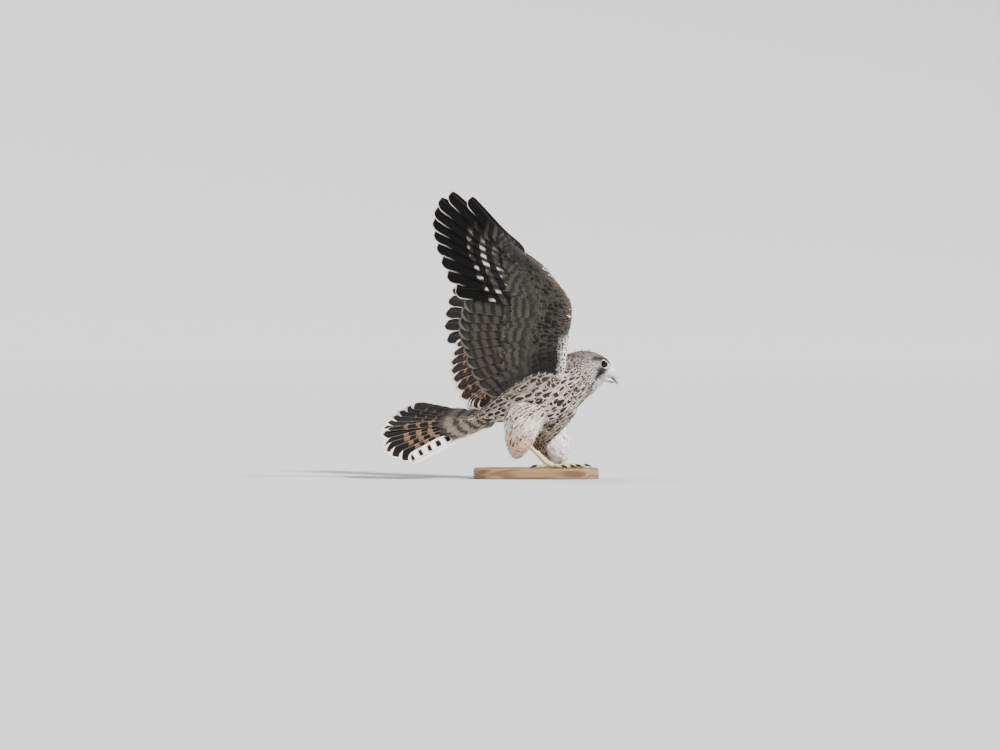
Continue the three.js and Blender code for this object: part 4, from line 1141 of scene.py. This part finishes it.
# Tail
# Twelve tail feathers in an open fan of two halves, with a gap after the first feather of
# the right half, and long coverts above and below their bases.
TAIL_ANGLES = [33.5, 28, 21.5, 15, 9, 3, -3, -12, -16, -21, -27, -32.5]
TAIL_LENGTHS = [108, 113, 118, 122, 126, 129, 130, 130, 130, 126, 118, 110]
# How pale each feather is, from the barred inner ones (0) to the white outermost (1), whose white
# ground is painted light; its dark spots are its own.
TAIL_KINDS = [0.05, 0, 0, 0, 0, 0.05, 0.12, 0.2, 0.26, 0.22, 0.3, 1]


def tail_place(hand):
    """From a feather's root and angle to points of the left (1) or right (-1) half."""
    roll = np.radians(28 if hand > 0 else 38)
    rear = np.array([-0.995, 0, -0.1])
    across = np.array([0, np.cos(roll) * hand, np.sin(roll) * hand])
    up = np.array([0, -np.sin(roll), np.cos(roll)])
    start = np.array([-57.6, 0, 58.8 + SOLE])

    def place(root, angle, run, sideways, lift):
        back, out, lift = np.broadcast_arrays(*turned_by(angle, run, sideways), lift)
        return (start + rear * back[..., None] + across * (out + root)[..., None]
                + up * lift[..., None])
    return place


halves = {1: [], -1: []}
for i, (angle, length, kind) in enumerate(zip(TAIL_ANGLES, TAIL_LENGTHS, TAIL_KINDS)):
    hand = 1 if angle > 0 else -1
    spot = 5 - i if hand > 0 else i - 6
    halves[hand].append(dict(
        root=0.8 + 1.1 * spot, angle=abs(angle), length=length, width=22,
        leading=mixed(1, 0.5, spot / 5), taper=1, roundness=0.13, bow=0, arch=-2,
        lift=-0.35 * spot, tipped=-1, pitch=lambda t, n=length: 1.2 + n * t * np.radians(7),
        kind=kind))
tail_paint = vane_paint("tail_feathers", "tail")
for hand, name, nodes in ((1, "left", ["tail"]), (-1, "right", [])):
    made = fan("tail_" + name, halves[hand], tail_place(hand))
    tail_paint.on(made, "plumage_tail", *nodes)

# Length, start behind the tail's root and number of the coverts in each row.
TAIL_ROWS = [(60, 0, 11), (46, -4, 9), (34, -8, 8), (24, -10, 7)]
sets = []
for hand in (1, -1):
    for over in (1, -1):
        tone, mark = (tint(108, 93, 81), 1.0) if over > 0 else (tint(222, 206, 184), 0.3)
        for row, (reach, start, many) in enumerate(TAIL_ROWS):
            for share in (np.arange(many) + 0.3) / many:
                angle = mixed(1, 33, share) + rng.normal(0, 1)
                length = reach * mixed(1, 0.82, share) * rng.uniform(0.94, 1.06)
                t, _, s, _, _ = broad[0].T
                run, across, chance = strewn(broad, np.array([length]),
                                             np.array([15 * mixed(1, 0.8, row / 3)]), 0.1)
                lift = 1.2 + 0.9 * row + 1.6 * t - 2.2 * t ** 2 + 0.2 * np.abs(chance) * s
                points = tail_place(hand)(0.6 + 5.5 * share, angle, start + run, across,
                                          over * (lift + 0.8))
                home = np.array([[0.25 + 0.5 * (over > 0) + hand * 0.2 * share, 0.2 + 0.2 * row]])
                sets.append(feathers(broad, points, chance, home, 0.02,
                                     coded([tone * rng.uniform(0.9, 1.08)], 0.3),
                                     coded([tint(28, 23, 21)], mark)))
coat_paint.on(coat_mesh("tail_coverts", sets), "plumage_tail")


# Eyes and lids
# A near-black ball with a dark brown iris, deep in each socket, and round it a thick bare
# cream ring of skin with fine creases.
EYEBALL = 5.45  # radius
LID_LEVEL = 14.95  # distance of the lid's inner edge from the middle plane
eye_paint = Paint("eye_paint", Roughness=0.05, IOR=1.34)
spot = eye_paint.node("SeparateXYZ", 0, Vector=eye_paint.place()).beside()
x, z = spot["X"] - EYE[0] * 0.001, spot["Z"] - EYE[1] * 0.001
gap = eye_paint.math("SQRT", x * x + z * z)
iris = eye_paint.mix(eye_paint.step(gap, 0.0023, 0.0027),
                     (0.003, 0.0025, 0.0025, 1), (0.012, 0.007, 0.005, 1))
edge = eye_paint.step(gap, 0.0036, 0.0041)
eye_paint.link("Base Color", eye_paint.mix(edge, iris, (0.01, 0.007, 0.006, 1)))


def mottled(paint, scale, low, high):
    """A cloudy mix of two colours."""
    return paint.mix(paint.noise(scale), full(*low), full(*high))


lid_paint = Paint("lid_paint", Roughness=0.5)
lid_paint.link("Base Color", mottled(lid_paint, 1500.0, (226, 220, 186), (240, 236, 212)))
lid_paint.bump(lid_paint.noise(3500.0, 4.0), 0.5, 0.0002)
lat, lon = np.linspace(0.02, np.pi - 0.02, 40)[:, None], ring(64)[None]
w, turn = np.linspace(0, 1, 12)[:, None], ring(120)[None]  # over the lid, and round it
crease = 0.07 * np.sin(23 * turn + 3 * np.sin(2 * turn)) * np.sin(np.pi * w)
front = np.clip(np.cos(turn + 0.75), 0, 1) ** 2
inner = 1 / np.hypot(np.cos(turn + 1.1) / 4.4, np.sin(turn + 1.1) / 3.7)
radius = inner + (1.05 + 1.5 * front) * w + crease
level = LID_LEVEL + 0.75 * np.sin(np.pi * np.minimum(w * 1.25, 1)) - 2.4 * w ** 2.2 + crease
for side, name in ((-1, "right"), (1, "left")):
    ball = stack(np.sin(lat) * np.cos(lon), side * np.cos(lat), np.sin(lat) * np.sin(lon))
    points, faces = tube(EYEBALL * ball + np.array([EYE[0], side * EYE[2], EYE[1]]))
    faces = [f[:, ::side] for f in faces]
    eye_paint.on(mesh_object("eyeball_" + name, points, faces), "eye", "eye_" + name)
    lid = stack(EYE[0] + radius * np.cos(turn), side * level, EYE[1] + radius * np.sin(turn))
    faces = grid_faces(12, 120, True)[:, ::side]
    lid_paint.on(mesh_object("lid_" + name, lid.reshape(-1, 3), faces), "cere")


# Bill
# The hooked upper bill with its tooth, the lower bill inside it, and the bare cere with
# two round nostrils, each with a small peg in its middle.
# Stations from the face to the tip: x and z of the top line, x and z of the bottom line
# and half width.
UPPER_BILL = np.array([
    [84, 129.5, 81, 110.2, 6.6], [89.5, 126, 85.6, 109.7, 6], [92.6, 121.8, 88, 109.2, 5.2],
    [94.8, 117.8, 90.2, 108.2, 4.5], [96.7, 113.8, 92.4, 106.6, 3.6],
    [98.2, 109.6, 94.2, 104.8, 2.7], [98.9, 105.6, 95.9, 103, 1.8],
    [98.6, 102.4, 96.9, 101.2, 1.05], [97.7, 99.5, 97.2, 99.3, 0.35]])
LOWER_BILL = np.array([
    [80, 110.4, 79.5, 103, 5.6], [85.4, 110.1, 84.8, 102.8, 5], [89.6, 109.2, 88, 102.6, 3.9],
    [92.9, 107.0, 91, 102.0, 2.6], [95.0, 104.6, 93.2, 101.8, 1.7],
    [95.9, 102.6, 95.2, 101.8, 0.6]])
NOSTRIL = (92.2, 115.4 + SOLE)  # x and height


def bill(table, start, end, rows, columns, grow=0.0):
    """Rings of a bill: ovals between its top line and bottom line, wider below."""
    u, a = np.linspace(start, end, rows)[:, None], ring(columns)[None]
    tx, tz, bx, bz, wide = np.moveaxis(along(table, u), -1, 0)
    c = np.cos(a)
    swell = 1 + grow / np.maximum(np.hypot(tx - bx, tz - bz) / 2, 0.5)
    return u, a, stack((tx + bx) / 2 + c * swell * (tx - bx) / 2,
                       -np.sin(a) * (wide + grow) * (1 - 0.22 * c),
                       (tz + bz) / 2 + c * swell * (tz - bz) / 2 + SOLE)


def bill_piece_dark_tip_and_shade(name, rings, dark):
    """A piece of the bill, with a number at each point for how dark it is: the upper bill's own dark
    tip, and painted shade along the mouth line and under the lower bill.
    """
    points, faces = tube(rings)
    grey = np.concatenate([dark[:1], dark, dark[-1:]]).reshape(-1)
    return mesh_object(name, points, faces, None, {"Lay": np.stack([grey] * 3 + [grey ** 0], -1)})


bill_paint = Paint("bill_paint", Roughness=0.28)
growth = bill_paint.noise(700.0, 4.0)
tone = bill_paint.mix(growth, full(150, 164, 178), full(200, 210, 218))
dark = bill_paint.split("Lay")[0]
bill_paint.link("Base Color", bill_paint.mix(dark, tone, full(14, 16, 22)))
bill_paint.bump(growth, 0.2, 0.0002)
u, a, upper = bill(UPPER_BILL, 3.0, 8, 60, 48)
low = -np.cos(a)
upper[..., 2] += ramp(low, 0.75, 0.98) * (0.9 * bump(u - 5.2, 0.45) - 0.5 * bump(u - 6.3, 0.28))
# dark along the upper bill's lower edge: painted shade of the mouth line; dark towards the tip: the
# bill's own colour
dark = np.maximum(ramp(low, 0.5, 0.8) * ramp(u, 2.6, 3.2), ramp(u, 6.0, 7.2))
bill_paint.on(bill_piece_dark_tip_and_shade("upper_bill", upper, dark), "beak", "beak_upper")
u, a, lower = bill(LOWER_BILL, 0.4, 5, 40, 40)
low = -np.cos(a)
# dark on the lower bill's top, tucked inside the upper bill, and along its underside: painted shade
dark = np.maximum(ramp(-low, 0.6, 0.9), ramp(low, 0.2, 0.7) * ramp(u, 0.8, 2.4))
bill_paint.on(bill_piece_dark_tip_and_shade("lower_bill", lower, dark), "beak", "beak_lower")

u, a, cere = bill(UPPER_BILL, 0.9, 3.25, 70, 120, 0.22)
gap = np.hypot(cere[..., 0] - NOSTRIL[0], cere[..., 2] - NOSTRIL[1])
inward = 1.2 * ramp(gap, 1.15, 0.75) - 0.8 * ramp(gap, 0.42, 0.2) - 0.22 * bump(gap - 1.4, 0.35)
cere[..., 1] -= np.sign(cere[..., 1]) * inward
cere += (ramp(u, 3.05, 3.25) * -0.35)[..., None] * (cere - cere.mean(1, keepdims=True)) / 4
points, faces = tube(cere)
cere_paint = Paint("cere_paint", Roughness=0.42)
x = cere_paint.node("SeparateXYZ", 0, Vector=cere_paint.place())
front = mottled(cere_paint, 500.0, (214, 222, 216), (230, 236, 232))
back = mottled(cere_paint, 500.0, (208, 212, 178), (230, 233, 206))
cere_paint.link("Base Color", cere_paint.mix(cere_paint.step(x, 0.086, 0.0935), back, front))
cere_paint.bump(cere_paint.noise(2600.0, 4.0), 0.4, 0.0002)
cere_paint.on(mesh_object("cere_skin", points, faces), "cere", "cere")


# Legs and feet
# Bare scaled legs from the heel to the ankle, four padded toes a foot, and curved claws.
# Side, heel and ankle as x and z, and how far the foot is turned.
LEGS = {"right": (-1, (-14, 33), (13.2, 5.2), 4), "left": (1, (17, 30), (31.2, 5.2), -4)}
# Name, direction outwards in degrees, length and half thickness.
TOES = [("inner", -24, 20, 2.5), ("middle", 4, 28, 2.5), ("outer", 34, 21, 2.4),
        ("hind", 176, 13, 2.4)]
LEG_SIDE = 17.5  # distance of each leg from the middle plane
CLAW_LENGTH, CLAW_BEND = 10, np.radians(88)


def rod(path, across, upward, sides=24):
    """Rings round a path, with a half size across it, level, and one square to that."""
    way = np.gradient(path, axis=0)
    way /= np.linalg.norm(way, axis=1, keepdims=True)
    level = np.stack([-way[:, 1], way[:, 0], 0 * way[:, 0]], -1)
    size = np.linalg.norm(level, axis=1, keepdims=True)
    level = np.where(size < 0.2, np.array([[0, 1.0, 0]]), level / np.maximum(size, 0.2))
    top = np.cross(way, level)
    a = ring(sides)[None, :, None]
    return (path[:, None] + level[:, None] * np.cos(a) * across[:, None, None]
            + top[:, None] * np.sin(a) * upward[:, None, None])


scale_paint = Paint("scale_paint", Roughness=0.45)
cells = scale_paint.node("TexVoronoi", 0, {"feature": "DISTANCE_TO_EDGE"},
                         Vector=scale_paint.place(), Scale=900.0).beside()
seam = scale_paint.step(cells["Distance"], 0.0, 0.12)
tone = mottled(scale_paint, 260.0, (206, 196, 134), (232, 224, 176))
scale_paint.link("Base Color", scale_paint.mix(seam, full(170, 158, 108), tone))
scale_paint.bump(seam, 0.5, 0.0002)
claw_paint = Paint("claw_paint", Roughness=0.25)
claw_paint.link("Base Color", claw_paint.mix(
    claw_paint.noise(600.0), (0.012, 0.011, 0.012, 1), (0.03, 0.027, 0.026, 1)))
claw_paint.bump(claw_paint.noise(1200.0, 4.0), 0.15, 0.0002)
for name, (side, heel, ankle, turned) in LEGS.items():
    t = np.linspace(0, 1, 60)
    path = stack(mixed(heel[0], ankle[0], t), side * LEG_SIDE, mixed(heel[1], ankle[1], t) + SOLE)
    rings = rod(path, np.interp(t, [0, 0.2, 0.55, 0.85, 1], [2.6, 2.3, 2.1, 2.5, 2.9]) - 0.05,
                np.interp(t, [0, 0.2, 0.55, 0.85, 1], [3, 2.6, 2.3, 2.7, 3]) - 0.05, 28)
    front = np.clip(np.cos(ring(28) - np.pi / 2), 0, 1)[None]
    scutes = 0.16 * np.abs(np.sin(np.pi * t * 19))[:, None] * front
    rings += scutes[..., None] * (rings - path[:, None]) / 2.5
    points, faces = tube(rings)
    scale_paint.on(mesh_object("leg_" + name, points, faces), "leg_skin", "tarsus_" + name)
    parts = []
    for toe, angle, length, thick in TOES:
        heading = np.radians(turned + side * angle)
        ahead = np.array([np.cos(heading), np.sin(heading), 0])
        base = np.array([ankle[0], side * LEG_SIDE, SOLE])
        stops = [base + ahead * length * run + np.array([0, 0, high])
                 for run, high in zip((0, 0.18, 0.42, 0.62, 0.84, 1), (4.6, 3.6, 2.4, 2.9, 2.0, 2.2))]
        path = along(np.array(stops), np.linspace(0, 5, 60))
        size = np.interp(t, np.linspace(0, 1, 6), [1.05, 1, 0.86, 0.92, 0.76, 0.6]) * thick
        rings = rod(path, size, size * 0.98, 26)
        high = np.sin(ring(26))[None]
        scutes = np.clip(high, 0, 1) * 0.16 * np.abs(np.sin(np.pi * t * length / 1.5))[:, None]
        pads = np.clip(-high, 0, 1) * 0.3 * (np.sin(np.pi * t * 3.1)[:, None] ** 2 - 0.2)
        rings += (scutes + pads)[..., None] * (rings - path[:, None]) / size[:, None, None]
        rings[..., 2] = np.maximum(rings[..., 2], SOLE - 0.12)
        parts.append(tube(rings))
        s = np.linspace(-0.12, 1, 30)
        arc, reach = s * CLAW_BEND, CLAW_LENGTH / CLAW_BEND
        claw = path[-1] + ahead * (np.sin(arc) * reach * 1.12)[:, None]
        claw[:, 2] += 0.9 - (1 - np.cos(arc)) * 3.1
        radius = 1.5 * np.interp(s, [-0.12, 0.25, 0.6, 1], [1, 0.9, 0.6, 0.1])
        horn = rod(claw, radius * 0.8, radius, 20)
        horn[..., 2] = np.maximum(horn[..., 2], SOLE - 0.1)
        points, faces = tube(horn)
        talon = mesh_object(f"talon_{name}_{toe}", points, faces)
        claw_paint.on(talon, "claw", f"claw_{name}_{toe}")
    points, faces = join(parts)
    scale_paint.on(mesh_object("toes_" + name, points, faces), "leg_skin", "foot_" + name)


# Base
# A flat plate of oiled wood with round corners and a softly rounded edge, its grain along
# its length.
HALF_LENGTH, HALF_WIDTH, THICKNESS = 75, 52, 12
CORNER, EDGE = 26, 1.6  # radius of the corners and of the rounded edge
a = ring(160)
lower, upper = np.linspace(0, np.pi / 2, 7), np.linspace(0, np.pi / 2, 9)
inset = EDGE - EDGE * np.concatenate([[0], np.sin(lower), np.cos(upper)])
high = np.concatenate([[0], EDGE - EDGE * np.cos(lower), THICKNESS - EDGE + EDGE * np.sin(upper)])
reach = (CORNER - inset)[:, None]
plate = stack(np.where(np.cos(a) > 0, 1, -1) * (HALF_LENGTH - CORNER) + reach * np.cos(a),
              np.where(np.sin(a) > 0, 1, -1) * (HALF_WIDTH - CORNER) + reach * np.sin(a),
              high[:, None])
points, faces = tube(plate)
wood = Paint("wood_paint", Roughness=0.42)


def grain(stretch, scale, detail):
    """Cloudy noise that is drawn out along the plate."""
    where = wood.node("Mapping", 0, i0=wood.place(), Scale=(stretch, 1.0, 1.0))
    return wood.noise(scale, detail, where)


growth = wood.sine(grain(0.12, 34.0, 3.0) * 46.0)
pores = grain(0.05, 1500.0, 2.0)
tone = wood.mix(wood.step(growth, -1.0, 1.0), full(120, 90, 64), full(158, 124, 92))
wood.link("Base Color", wood.mix(wood.step(pores, 0.62, 0.72), tone, full(92, 62, 40)))
wood.bump(pores, 0.12, 0.0003)
wood.on(mesh_object("base_plate", points, faces), "base_wood", "stand_base")
